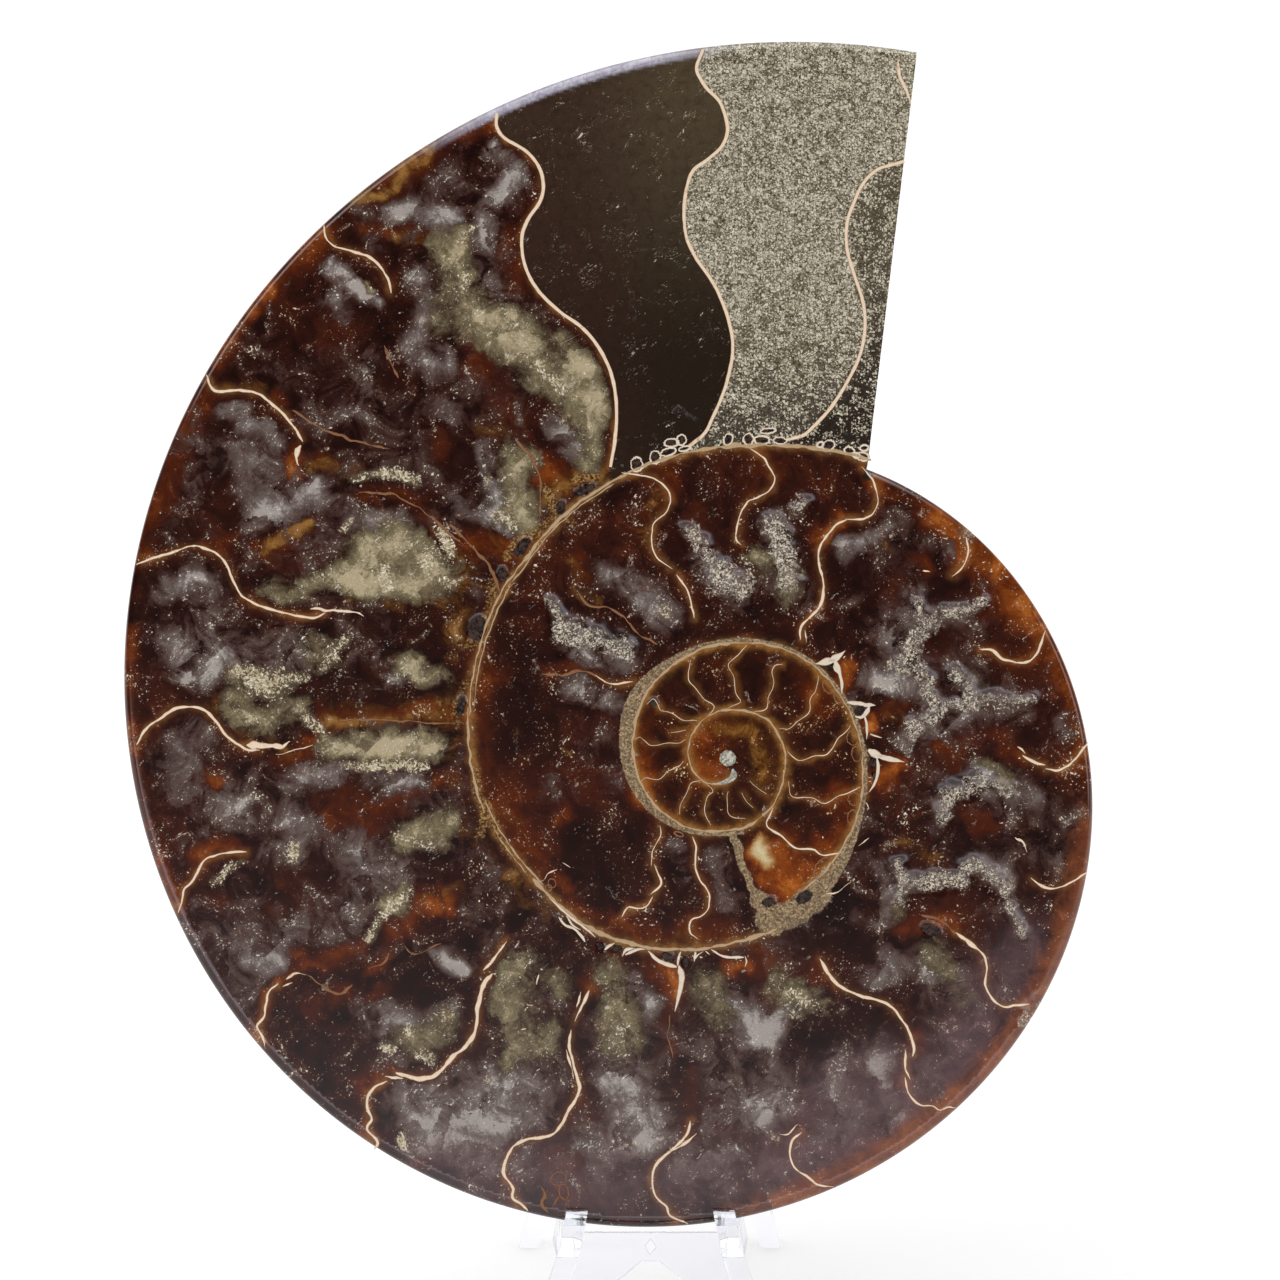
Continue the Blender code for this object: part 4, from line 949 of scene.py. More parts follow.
def natural_side():
    """Shell behind the polished slab: sections round the spiral, then across the sawn mouth."""
    steps, first = ring_steps()
    shares = np.exp(-GROWTH * math.tau * steps / RINGS_A_TURN)
    cut = mouth_line(np.linspace(0.0, 1.0, MOUTH_SPOKES + 1)[1:])
    angles = np.concatenate([np.linspace(START, MOUTH_OUTER, SPOKES),
                             np.arctan2(-cut[:, 1], cut[:, 0]) + math.tau])
    bm = bmesh.new()
    growth = bm.verts.layers.float.new("growth")
    across = bm.verts.layers.float.new("across")

    def corner(angle, radius, depth):
        made = bm.verts.new(FACE.place(on_face(angle, radius), depth))
        made[growth] = angle
        made[across] = radius / venter_radius(angle)
        return made

    rows = []
    for number, angle in enumerate(angles):
        radii = venter_radius(angle) * shares
        if number >= SPOKES:
            outer = np.linalg.norm(cut[number - SPOKES])
            radii[:first + 1] = outer * (radii[first] / outer) ** (steps[:first + 1] / RINGS_A_TURN)
        depths = np.maximum(flank_depth(angle, radii) - relief(angle, radii), RIM)
        if number < len(angles) - 1:
            rows.append([corner(angle, *place) for place in zip(radii, depths)])
    end = [corner(angles[-1], radii[first], depths[first])] * (first + 1)
    begin = rows[0]
    begin_depths = np.array([FACE.depth(vertex.co) for vertex in begin])
    for step in range(first + 1, len(steps)):
        shared = depths[step] - begin_depths[step - first] < LEAST_CLIFF
        end.append(begin[step - first] if shared else corner(angles[-1], radii[step], depths[step]))
    rows.append(end)

    middle = bm.verts.new(FACE.place(np.zeros(2), flank_depth(0.0, np.array(1.0))))
    for row, after in zip(rows, rows[1:]):
        for i in range(len(row) - 1):
            add_face(bm, (row[i], row[i + 1], after[i + 1], after[i]))
        if after is not end:
            add_face(bm, (row[-1], middle, after[-1]))
    add_face(bm, [rows[-2][-1]] + begin[len(steps) - 1 - first:] + [middle])

    foot = [corner(angle, np.linalg.norm(place), RIM) for angle, place in zip(angles[SPOKES:-1], cut)]
    foot = [rows[SPOKES - 1][0]] + foot + [begin[0]]
    mouth = []
    for i, (low, high) in enumerate(zip(foot, foot[1:])):
        mouth.append(add_face(bm, (rows[SPOKES - 1 + i][0], rows[SPOKES + i][0], high, low)))
    for i in range(len(steps) - first - 1):
        cliff = add_face(bm, (end[first + i], end[first + i + 1], begin[i + 1], begin[i]))
        if cliff is None:
            break
        mouth.append(cliff)
    for face in mouth:
        face.material_index = 1
    bm.faces.new([row[0] for row in rows[:SPOKES]] + foot[1:-1])
    bmesh.ops.recalc_face_normals(bm, faces=bm.faces)
    return new_object("natural_side", bm, SIDE_CREASE)


def add_face(bm, corners):
    """A face on the corners that differ; none where fewer than three are left."""
    kept = list(dict.fromkeys(corners))
    return bm.faces.new(kept) if len(kept) > 2 else None


# ---- lines and inlays of shell in the face ----

# one section of a strip of shell: share of its half width, depth, 1 at its edges
STRIP_SECTION = ((-1, -0.006, 1), (-0.45, -PROUD, 0), (0.45, -PROUD, 0), (1, -0.006, 1),
                 (0.8, SUNK, 1), (-0.8, SUNK, 1))


def left_of(line, closed=False):
    """Unit vectors to the left of a line, at each of its points."""
    ahead = np.roll(line, -1, axis=0) - np.roll(line, 1, axis=0)
    if not closed:
        ahead[0], ahead[-1] = line[1] - line[0], line[-1] - line[-2]
    ahead /= np.linalg.norm(ahead, axis=1)[:, None]
    return np.stack([-ahead[:, 1], ahead[:, 0]], axis=-1)


def strips_mesh():
    """Empty mesh for strips and discs, with room for what is 1 at their edges."""
    bm = bmesh.new()
    bm.verts.layers.float.new("edge")
    return bm


def add_strip(bm, line, widths, closed=False):
    """Closed strip of shell let into the face along a line."""
    edge = bm.verts.layers.float["edge"]
    left = left_of(line, closed)
    columns = []
    for share, depth, value in STRIP_SECTION:
        places = FACE.place(line + left * (share * widths / 2)[:, None], depth)
        columns.append([bm.verts.new(place) for place in places])
        for vertex in columns[-1]:
            vertex[edge] = value
    sides = list(zip(columns, columns[1:] + columns[:1]))
    for i in range(len(line) if closed else len(line) - 1):
        after = (i + 1) % len(line)
        for one, other in sides:
            bm.faces.new((one[i], one[after], other[after], other[i]))
    if not closed:
        bm.faces.new([column[0] for column in columns])
        bm.faces.new([column[-1] for column in columns][::-1])


def add_line(bm, points, start, end, seed, ragged, taper=True):
    """Strip along a smooth line, a little uneven, from one width to another."""
    line = smooth_line(points)
    wander = (fractal(line, 1.3, seed, 2) - 0.5) * 4.0 * ragged
    line = line + left_of(line) * wander[:, None]
    along = np.linspace(0.0, 1.0, len(line))
    swell = np.clip(1.0 + SWELL * ragged * (fractal(line, 1.2, seed + 7, 2) - 0.5), 0.3, 1.8)
    widths = (start + (end - start) * along) * swell
    if taper:
        ends = np.minimum(np.arange(len(line)), np.arange(len(line))[::-1]) * LINE_STEP
        widths *= np.clip(0.25 + ends / 1.2, 0.0, 1.0)
    add_strip(bm, line, np.maximum(widths, LEAST_WIDTH))


def ellipse(x, y, half_width, half_height, turn, uneven=0.0, seed=0):
    """Outline of an ellipse on the face, with an uneven edge if asked."""
    count = max(14, round(math.tau * max(half_width, half_height) / 0.16))
    angle = np.arange(count) * math.tau / count
    bumps = 1.0 + uneven * (np.random.default_rng(seed).random(count) - 0.5)
    across, along = half_width * np.cos(angle) * bumps, half_height * np.sin(angle) * bumps
    turn = math.radians(turn)
    return np.stack([x + across * math.cos(turn) - along * math.sin(turn),
                     y + across * math.sin(turn) + along * math.cos(turn)], axis=-1)


def add_disc(bm, outline, proud):
    """Closed flat inlay with a convex outline."""
    edge = bm.verts.layers.float["edge"]
    top = [bm.verts.new(place) for place in FACE.place(outline, -proud)]
    base = [bm.verts.new(place) for place in FACE.place(outline, SUNK)]
    for vertex in top + base:
        vertex[edge] = 0.0
    count = len(outline)
    bm.faces.new(top)
    bm.faces.new(base[::-1])
    for i in range(count):
        after = (i + 1) % count
        bm.faces.new((top[i], base[i], base[after], top[after]))


def finish_strips(name, bm):
    bmesh.ops.recalc_face_normals(bm, faces=bm.faces)
    return new_object(name, bm, STRIP_CREASE)


def chamber_walls():
    """The shell walls between the chambers, and flakes broken from them."""
    bm = strips_mesh()
    for number, (width, *points) in enumerate(SEPTA):
        whole = number < WHOLE_WALLS
        slim = width * (1.0 if whole else SLIM)
        if np.linalg.norm(pairs(points), axis=1).max() < CORE_REACH + 1.0:
            slim *= CORE_SLIM
        add_line(bm, points, slim, slim, 300 + number, 0.02 if whole else 0.07, not whole)
    for number, (width, *points) in enumerate(FLAKES):
        add_line(bm, points, width * SLIM, width * 0.6 * SLIM, 400 + number, 0.12)
    return finish_strips("chamber_walls", bm)


def crushed_shell():
    """Thin tan lines that crushed shell leaves in the stone."""
    bm = strips_mesh()
    for number, (width, *points) in enumerate(TAN_LINES):
        add_line(bm, points, width, width, 500 + number, 0.14)
    for number, ring in enumerate(INNER_RINGS):
        line = ellipse(*ring, uneven=0.15, seed=30 + number)
        add_strip(bm, line, 0.1 + 0.14 * fractal(line, 0.8, 560 + number, 1), closed=True)
    return finish_strips("crushed_shell", bm)


def whorl_wall():
    """The wall between the whorls, as strips along stretches of the spiral."""
    bm = strips_mesh()
    for number, (start, end, offset, width) in enumerate(WALL_STRIPS):
        angles = np.radians(np.linspace(start, end, max(3, round(abs(end - start) / 3))))
        points = on_face(angles, wall_radius(angles) + offset)
        add_line(bm, points, width, width, 600 + number, 0.1)
    return finish_strips("whorl_wall", bm)


def siphuncle_rings():
    """Pale linings cut through as rings, with the white spurs on the whorl wall."""
    bm = strips_mesh()
    for number, ring in enumerate(RINGS):
        line = ellipse(*ring, uneven=0.22, seed=number)
        add_strip(bm, line, 0.14 + 0.26 * fractal(line, 0.8, 700 + number, 1), closed=True)
    for number, (start, end, *points) in enumerate(SPURS):
        add_line(bm, points, start, end, 750 + number, 0.05)
    return finish_strips("siphuncle_rings", bm)


def opening_shade_discs():
    """Discs of painted shade in the openings inside the rings and beside the whorl wall."""
    bm = strips_mesh()
    for number, ring in enumerate(RINGS):
        add_disc(bm, ellipse(*ring), RING_PROUD + number * HAIR)
    for number, cell in enumerate(CELLS):
        add_disc(bm, ellipse(*cell, uneven=0.25, seed=80 + number), CELL_PROUD + number * HAIR)
    return finish_strips("opening_shade_discs", bm)


def first_chamber():
    """The first chamber, filled with crystal, and the tail of shell that starts the spiral."""
    bm = strips_mesh()
    add_disc(bm, ellipse(*FIRST_CHAMBER, uneven=0.1, seed=5), 0.012)
    add_line(bm, FIRST_TAIL, 1.3, 0.2, 790, 0.05)
    return finish_strips("first_chamber", bm)


# ---- shader nodes ----

def colour(red, green, blue):
    """Linear colour from the everyday 0 to 255 values."""
    def linear(part):
        part /= 255.0
        return part / 12.92 if part <= 0.04045 else ((part + 0.055) / 1.055) ** 2.4
    return (linear(red), linear(green), linear(blue), 1.0)


def paint(tone):
    """A tone in everyday 0 to 255 values as a linear colour; a property's own colour as it is."""
    return colour(*tone) if len(tone) == 3 else tone


class Value:
    """One output of a node. Arithmetic on it adds the Math nodes that work it out."""

    def __init__(self, shader, socket):
        self.shader = shader
        self.socket = socket

    def math(self, operation, second=0.0):
        """A Math node with this as its first number."""
        return self.shader.add("Math", {0: self, 1: second}, operation=operation)[0]

    def __add__(self, other):
        return self.math("ADD", other)

    def __mul__(self, other):
        return self.math("MULTIPLY", other)

    __radd__ = __add__
    __rmul__ = __mul__

    def __sub__(self, other):
        return self.math("SUBTRACT", other)

    def __rsub__(self, other):
        return self.shader.add("Math", {0: other, 1: self}, operation="SUBTRACT")[0]

    def __pow__(self, power):
        return self.math("POWER", power)

    def __abs__(self):
        return self.math("ABSOLUTE")

    def most(self, *others):
        """The largest of this and others, place by place."""
        largest = self
        for other in others:
            largest = largest.math("MAXIMUM", other)
        return largest

    def rise(self, low, high):
        """0 below low, 1 above high, smooth between; falls instead if low is the larger."""
        inputs = {"Value": self, "From Min": low, "From Max": high}
        return self.shader.add("MapRange", inputs, interpolation_type="SMOOTHSTEP")[0]

    def torn(self, noise, reach, low, high):
        """This soft field, with its edge torn by noise."""
        return (self + (noise - 0.5) * reach).rise(low, high)


class Outputs:
    """Outputs of a node by place or name, each as a Value."""

    def __init__(self, shader, sockets):
        self.shader = shader
        self.sockets = sockets

    def __getitem__(self, key):
        return Value(self.shader, self.sockets[key])


class Shader:
    """Adds nodes to one shader tree, each in a single call."""

    def __init__(self, tree, flat=False):
        self.tree = tree
        self.tree.nodes.clear()
        self.dimensions = "2D" if flat else "3D"

    def node(self, kind, inputs=None, **settings):
        """A new node with its settings made and its inputs filled."""
        node = self.tree.nodes.new("ShaderNode" + kind)
        for name, value in settings.items():
            setattr(node, name, value)
        for key, value in (inputs or {}).items():
            self.put(node.inputs[key], value)
        return node

    def add(self, kind, inputs=None, **settings):
        """The outputs of a new node."""
        return Outputs(self, self.node(kind, inputs, **settings).outputs)

    def put(self, socket, value):
        """Link a value to a socket, or set the socket itself."""
        if isinstance(value, Value):
            self.tree.links.new(value.socket, socket)
        else:
            socket.default_value = paint(value) if socket.type == "RGBA" else value

    def mix(self, factor, first, second, **settings):
        """A colour between two others."""
        return self.add("Mix", {0: factor, 6: first, 7: second}, data_type="RGBA", **settings)[2]

    def blend(self, factor, low, high):
        """A number between two others."""
        return self.add("Mix", {0: factor, 2: low, 3: high}, data_type="FLOAT")[0]

    def ramp(self, value, *stops):
        """Colour along a row of stops, each a position and a colour."""
        node = self.node("ValToRGB", {0: value})
        elements = node.color_ramp.elements
        while len(elements) < len(stops):
            elements.new(1.0)
        for element, (position, tone) in zip(elements, stops):
            element.position = position
            element.color = paint(tone)
        return Value(self, node.outputs[0])

    def vector(self, operation, first, second):
        made = self.add("VectorMath", {0: first, 1: second}, operation=operation)
        return made[1 if operation == "DOT_PRODUCT" else 0]

    def parts(self, tone):
        """Three numbers held as one colour."""
        return self.add("SeparateColor", {0: tone})

    def stored(self, name, output="Fac"):
        """Number or colour stored under a name on the mesh."""
        return self.add("Attribute", attribute_name=name, attribute_type="GEOMETRY")[output]

    def fields(self, name):
        """The three fields stored under one name on the mesh."""
        parts = self.parts(self.stored(name, "Color"))
        return parts[0], parts[1], parts[2]

    def millimetres(self):
        """Place in millimetres: in space, or across and up the sawn face in a flat tree."""
        place = self.add("TexCoord")["Object"]
        if self.dimensions == "3D":
            return self.vector("MULTIPLY", place, (1.0 / MM,) * 3)
        away = self.vector("SUBTRACT", place, tuple(FACE.pole))
        across, along = [self.vector("DOT_PRODUCT", away, tuple(side / MM))
                         for side in (FACE.right, FACE.up)]
        return self.add("CombineXYZ", {0: across, 1: along})[0]

    def noise(self, place, scale, detail=4.0, roughness=0.6, distortion=0.0):
        """Cloudy noise, mostly between 0.3 and 0.7."""
        inputs = {"Vector": place, "Scale": scale, "Detail": detail, "Roughness": roughness,
                  "Distortion": distortion}
        return self.add("TexNoise", inputs, noise_dimensions=self.dimensions)[0]

    def cells(self, place, scale, feature="F1", distance="EUCLIDEAN"):
        """Cells round scattered points: distance, then a colour of each cell's own."""
        inputs = {"Vector": place, "Scale": scale}
        return self.add("TexVoronoi", inputs, voronoi_dimensions=self.dimensions, feature=feature,
                        distance=distance)

    def turned(self, place, angle):
        """Places turned about the sawn face's own direction."""
        axis = (0.0, 0.0, 1.0) if self.dimensions == "2D" else tuple(FACE.out)
        inputs = {"Vector": place, "Axis": axis, "Angle": angle}
        return self.add("VectorRotate", inputs, rotation_type="AXIS_ANGLE")[0]

    def streaks(self, place, patches, scale):
        """Fine straight streaks that run their own way in each patch of crystal."""
        turned = self.turned(place, self.parts(patches[1])[0] * math.tau)
        return self.noise(self.vector("MULTIPLY", turned, (0.22, 1.0, 1.0)), scale, 3.0, 0.65)

    def group(self, name, **inputs):
        """What a shared node group puts out for these inputs."""
        node = self.node("Group")
        node.node_tree = bpy.data.node_groups[f"{name}_{self.dimensions}"]
        for key, value in inputs.items():
            self.put(node.inputs[key.capitalize()], value)
        return Value(self, node.outputs[0])

    def bump(self, height, strength, distance):
        return self.add("Bump", {"Height": height, "Strength": strength, "Distance": distance})[0]


class Finish(Shader):
    """Material with a Principled shader, whose constants are set on its own sockets."""

    def __init__(self, name, flat=False, **constants):
        self.material = bpy.data.materials.new(name)
        self.material.use_nodes = True
        super().__init__(self.material.node_tree, flat)
        self.principled = self.node("BsdfPrincipled")
        for label, value in constants.items():
            self.principled.inputs[label.replace("_", " ")].default_value = value
        self.node("OutputMaterial", {"Surface": Value(self, self.principled.outputs[0])})

    def done(self, **values):
        """The material, once values are put into its sockets."""
        for label, value in values.items():
            self.put(self.principled.inputs[label.replace("_", " ")], value)
        return self.material


def new_group(name, flat, inputs, output):
    """Empty node group with one output: its shader helper, its inputs, and the output's socket."""
    tree = bpy.data.node_groups.new(f"{name}_{'2D' if flat else '3D'}", "ShaderNodeTree")
    shader = Shader(tree, flat)
    for label, socket_type, default in inputs:
        socket = tree.interface.new_socket(label, in_out="INPUT", socket_type=socket_type)
        if default is not None:
            socket.default_value = default
    tree.interface.new_socket(output, in_out="OUTPUT", socket_type="NodeSocketFloat")
    given = Outputs(shader, tree.nodes.new("NodeGroupInput").outputs)
    return shader, given, tree.nodes.new("NodeGroupOutput").inputs[0]


def pale_flecks_group(flat):
    """Small angular flecks gathered in clusters: their brightness, and 0 between them."""
    shader, given, result = new_group("pale_flecks", flat,
                                      (("Place", "NodeSocketVector", None),
                                       ("Scale", "NodeSocketFloat", 1.6),
                                       ("Amount", "NodeSocketFloat", 0.5)), "Mask")
    cluster = shader.noise(given["Place"], 0.26, 6.0, 0.75, 0.6).rise(0.51, 0.7)
    reach = (cluster * 0.97 + 0.03) * given["Amount"]
    bent = shader.noise(given["Place"], 1.6, 3.0, 0.6) * 1.2
    found = []
    for stretch, turn in (((1.0, 1.0, 0.4), 0.5), ((0.35, 1.0, 1.1), -0.6), ((0.8, 1.0, 0.9), 0.1)):
        drawn_out = shader.vector("MULTIPLY", shader.turned(given["Place"], turn), stretch)
        moved = shader.vector("ADD", drawn_out, bent)
        cells = shader.cells(moved, given["Scale"], distance="MANHATTAN")
        chance = shader.parts(cells[1])
        size = chance[1] ** 4.0 * 0.3 + 0.13
        here = (reach - chance[0]).rise(0.0, 0.02)
        fleck = (cells[0] - size).rise(0.03, -0.03) * here
        found.append(fleck * (chance[2] * 0.7 + 0.3))
    shader.put(result, found[0].most(found[1], found[2]))


def stone_grain_group(flat):
    """Sandy grain from 0 to 1: small lumps, each with a tone of its own."""
    shader, given, result = new_group("stone_grain", flat,
                                      (("Place", "NodeSocketVector", None),
                                       ("Scale", "NodeSocketFloat", 3.0)), "Grain")
    lumps = shader.cells(given["Place"], given["Scale"])
    broad = shader.noise(given["Place"], given["Scale"] * 0.5, 6.0, 0.75)
    mixed = shader.parts(lumps[1])[0] * 0.5 + broad * 0.9
    shader.put(result, (mixed - lumps[0] * 0.35).rise(0.2, 0.95))


def polished_stone(look):
    """Calcite, stained shell filling, matrix and druse of the sawn and polished face."""
    shader = Finish("polished_stone", flat=True, IOR=1.5)
    place = shader.millimetres()
    grey, green, cream = shader.fields("calcite")
    stain, knots, gilded = shader.fields("stain")
    druse, matrix, opening = shader.fields("rough")
    living, pyrite, dark = shader.fields("zone")
    golden, pale, inner = shader.fields("core")
    lit, veil, rust = shader.fields("rim")
    elsewhere = shader.vector("ADD", place, (31.0, 7.0, 19.0))
    medium = shader.noise(place, 0.5, 6.0, 0.62, 0.7)
    other = shader.noise(elsewhere, 0.75, 6.0, 0.64, 0.5)
    fine = shader.noise(place, 2.4, 4.0, 0.7, 0.3)
    marble = shader.noise(place, 0.2, 8.0, 0.66, 0.5) - 0.5
    cloud = shader.noise(elsewhere, 0.28, 8.0, 0.66, 0.5) - 0.5
    grain = shader.group("stone_grain", place=place, scale=4.0)
    bent = shader.vector("ADD", place, medium)
    crystals = shader.cells(place, 0.6)
    streak = shader.streaks(place, crystals, 1.7)
    needles = shader.streaks(elsewhere, shader.cells(elsewhere, 1.9), 3.0) - 0.5
    shifted = shader.vector("ADD", place, medium * 4.0)
    block = shader.parts(shader.cells(shifted, 0.26)[1])[0] - 0.5
    feather = streak * 0.6 + fine * 0.4 - 0.5
    facets = shader.parts(crystals[1])[1] - 0.5
    chips = shader.parts(shader.cells(place, 3.2)[1])[0] - 0.5
    lace = abs(shader.noise(elsewhere, 1.3, 3.0, 0.6, 1.0) - 0.5).rise(0.06, 0.025)

    # stained filling, from near black through maroon to amber
    warm = stain * (0.86 + cloud * 1.6) + 0.09 + marble * 0.7 + feather * (0.08 + stain * 0.35)
    tone = shader.ramp(warm, (0.0, look.stone_dark), (0.09, (40, 16, 11)), (0.2, (54, 22, 13)),
                       (0.36, (74, 29, 11)), (0.54, (100, 45, 14)), (0.76, look.stone_amber),
                       (1.0, look.stone_orange))
    honey = golden + cloud * 1.4 + feather * 0.5
    tone = shader.mix(honey.rise(0.25, 0.9) * 0.85, tone,
                      shader.ramp(honey, (0.3, (66, 34, 13)), (0.65, (94, 58, 22)), (1.0, (150, 108, 54))))
    tone = shader.mix(gilded * (-0.15 + other * 1.7), tone, (156, 112, 62))

    # clouded and clear calcite, which low on the face also paints in the mirrored pale sheen
    mist = grey * (1.0 + block * 0.8) + marble * (1.0 + grey) + feather * (0.12 + grey * 0.5)
    mist = mist + (facets + chips) * grey * 0.12 - (stain * 0.3 + inner * 0.12)
    mist_tone = shader.ramp(mist, (0.12, (52, 31, 27)), (0.32, (70, 49, 44)), (0.54, (86, 70, 65)),
                            (0.78, (109, 97, 92)), (1.0, (160, 151, 145)))
    tone = shader.mix(mist.rise(0.04, 0.5), tone, mist_tone)
    lime = green * (1.1 + block * 0.5) + cloud + feather * 0.45
    lime_tone = lime - 0.2 + facets * 0.2 + chips * 0.06 + needles * 0.5
    lime_tone = shader.ramp(lime_tone, (0.08, (58, 42, 30)), (0.38, (88, 76, 57)), (0.66, (118, 106, 80)),
                            (0.95, (176, 161, 130)))
    tone = shader.mix(lime.rise(0.2, 0.65), tone, lime_tone)
    torn = cream + needles * 2.2 + chips * 0.25 + marble * 2.4 + (fine - 0.5) * 2.2
    tone = shader.mix(cream.rise(0.1, 0.8) * 0.4, tone, (122, 108, 84))
    tone = shader.mix(torn.rise(0.62, 0.95), tone, shader.ramp(needles * 1.8 + 0.5 + chips * 0.3,
                                                               (0.1, (122, 104, 76)),
                                                               (0.55, (182, 168, 138)),
                                                               (1.0, (242, 233, 214))))

    # painted sheen, a mauve reflection of the pale surface low down; and an orange-brown band along the
    # rim, low on the right
    tone = shader.mix(veil * (0.6 + cloud * 1.6), tone, (106, 84, 87))
    tone = shader.mix((rust + cloud * 1.5).rise(0.05, 1.0) * 0.8, tone,
                      shader.mix(marble.rise(-0.12, 0.15), (112, 60, 38), (146, 84, 48)))

    # the first whorls are stained a redder brown
    tone = shader.mix(inner, tone, (1.0, 0.9, 0.68, 1.0), blend_type="MULTIPLY")

    # glints, flecks and cracks, thickest in the clouded parts
    pale_part = mist.rise(0.15, 0.7).most(lime.rise(0.35, 0.9))
    glint = needles.rise(0.14, 0.22) * pale_part * other.rise(0.5, 0.62)
    tone = shader.mix(glint * 0.7, tone, (206, 200, 192))
    crowd = 0.13 + pale_part * 0.32
    flecks = shader.group("pale_flecks", place=place, scale=1.2, amount=crowd * 0.2)
    dust = shader.group("pale_flecks", place=elsewhere, scale=2.3, amount=crowd)
    edges = shader.cells(bent, 0.4, "DISTANCE_TO_EDGE")[0]
    cracks = edges.rise(0.022, 0.0) * other.rise(0.5, 0.6) * (green + grey * 0.6).rise(0.25, 0.8)
    # fewer flecks in the living chamber, the inner whorls and under the painted sheen
    quiet = (1.0 - living * 0.9) * (1.0 - (inner * 0.86).most(veil * 0.7))
    shown = flecks.most(dust, cracks * 0.4) * (0.6 + pale_part * 0.4)
    tone = shader.mix(shown * quiet, tone, (236, 229, 216))

    # druse: a lacy crust of granules in a clouded hollow
    halo = (druse + marble * 1.6).rise(0.25, 0.75)
    tone = shader.mix(halo * 0.36, tone, shader.mix(other, (60, 44, 38), (112, 98, 86)))
    crust = (druse * 0.9 + cloud * 2.2 + lace * 0.25 + feather * 0.8).rise(0.6, 0.76)
    crust = crust * lace.most(grain.rise(0.56, 0.76))
    tone = shader.mix(crust, tone, shader.mix(grain, (122, 108, 90), (222, 210, 190)))

    # sandy matrix
    tan = shader.ramp(grain, (0.02, (70, 48, 28)), (0.3, (122, 96, 62)), (0.7, (148, 123, 86)),
                      (1.0, (188, 165, 126)))
    tan = shader.mix(other.rise(0.35, 0.7) * 0.4, tan, (106, 88, 62))
    sandy = matrix.torn(fine, 0.9, 0.4, 0.65)
    tone = shader.mix(sandy, tone, tan)
    rusty = knots.torn(fine, 1.4, 0.35, 0.7)
    tone = shader.mix(rusty * 0.85, tone, shader.ramp(grain, (0.1, (56, 34, 18)), (0.5, (122, 86, 46)),
                                                      (1.0, (178, 142, 90))))

    tone = shader.mix(living, tone, living_filling(shader, place, pyrite, medium, other, fine))
    tone = shader.mix(dark * 0.8, tone, (28, 11, 8))
    # painted highlight: a pale mauve band on the top of the rim, for the ceiling light mirrored in the
    # polished edge
    tone = shader.mix(lit, tone, shader.mix(other.rise(0.3, 0.7), (146, 140, 156), (186, 182, 194)))
    bright = pale + (medium - 0.5) * 0.7
    tone = shader.mix(bright.rise(0.15, 0.8), tone,
                      shader.ramp(bright, (0.25, (122, 62, 18)), (0.6, (168, 124, 70)),
                                  (1.0, (206, 190, 150))))
    # painted shade inside the openings
    tone = shader.mix(opening.rise(0.3, 0.6), tone, (20, 12, 9))
    speckle = 0.68 + shader.noise(elsewhere, 4.5, 2.0, 0.7) * 0.64
    shade = shader.add("CombineXYZ", {0: speckle, 1: speckle, 2: speckle})[0]
    tone = shader.vector("MULTIPLY", tone, shade)

    rough = (crust * 0.5).most(sandy * 0.3, pyrite * 0.15)
    height = (crust + sandy * 0.5) * grain + pyrite * grain * 0.25
    return shader.done(Base_Color=tone, Roughness=rough + look.polish,
                       Normal=shader.bump(height, 0.5, 0.0003))


def living_filling(shader, place, pyrite, medium, other, fine):
    """Brown filling of the last chamber, crowded with pale pyrite grains beyond its first line."""
    far = shader.add("SeparateXYZ", {0: place})
    filling = shader.mix(far[1].rise(58.0, 104.0), (38, 28, 20), (76, 64, 47))
    filling = shader.mix(far[0].rise(-6.0, -26.0) * 0.75, filling, (52, 32, 26))
    filling = shader.mix(other.rise(0.4, 0.75) * 0.4, filling, (30, 22, 16))
    specks = shader.group("pale_flecks", place=place, scale=1.7, amount=0.1)
    dust = shader.group("pale_flecks", place=place, scale=4.0, amount=0.32)
    filling = shader.mix(specks.most(dust * 0.65), filling, (210, 200, 176))
    ground = shader.mix(fine.rise(0.36, 0.62), (50, 40, 29), (122, 110, 85))
    ground = shader.mix(pyrite.rise(0.2, 0.75), filling, ground)
    for scale, share in ((2.2, 0.75), (3.9, 0.95)):
        beads = shader.cells(place, scale)
        chance = shader.parts(beads[1])
        crowd = pyrite * share + (medium - 0.52) * 2.2
        here = (crowd - chance[0]).rise(-0.04, 0.06)
        size = 0.3 + chance[1] * 0.28
        bead = (beads[0] - size).rise(0.05, -0.08) * here
        ground = shader.mix(bead, ground, shader.mix(chance[2], (126, 116, 92), (216, 209, 188)))
    return shader.mix(pyrite.rise(0.05, 0.25), filling, ground)


def shell_strip(name, core, rim, roughness, patch):
    """Shell of a wall: pale along its middle, brown at its edges, with worn patches."""
    shader = Finish(name, IOR=1.5)
    place = shader.millimetres()
    edge = shader.stored("edge")
    worn = shader.noise(place, 0.9, 4.0, 0.65)
    grain = shader.group("stone_grain", place=place, scale=5.0)
    tone = shader.mix((edge + (worn - 0.5) * 0.9).rise(0.35, 1.0), core, rim)
    tone = shader.mix(grain * 0.22, tone, rim)
    tone = shader.mix(worn.rise(0.6, 0.74) * patch, tone, rim)
    return shader.done(Base_Color=tone, Roughness=shader.blend(grain, roughness, roughness + 0.12),
                       Normal=shader.bump(grain, 0.15, 0.0001))


def grainy(name, scale, dark, pale, smooth, rough, ior=1.5):
    """Stone that turns from dark and smooth to pale and rough with its grain."""
    shader = Finish(name, IOR=ior)
    grain = shader.group("stone_grain", place=shader.millimetres(), scale=scale)
    return shader.done(Base_Color=shader.mix(grain, dark, pale),
                       Roughness=shader.blend(grain, smooth, rough))


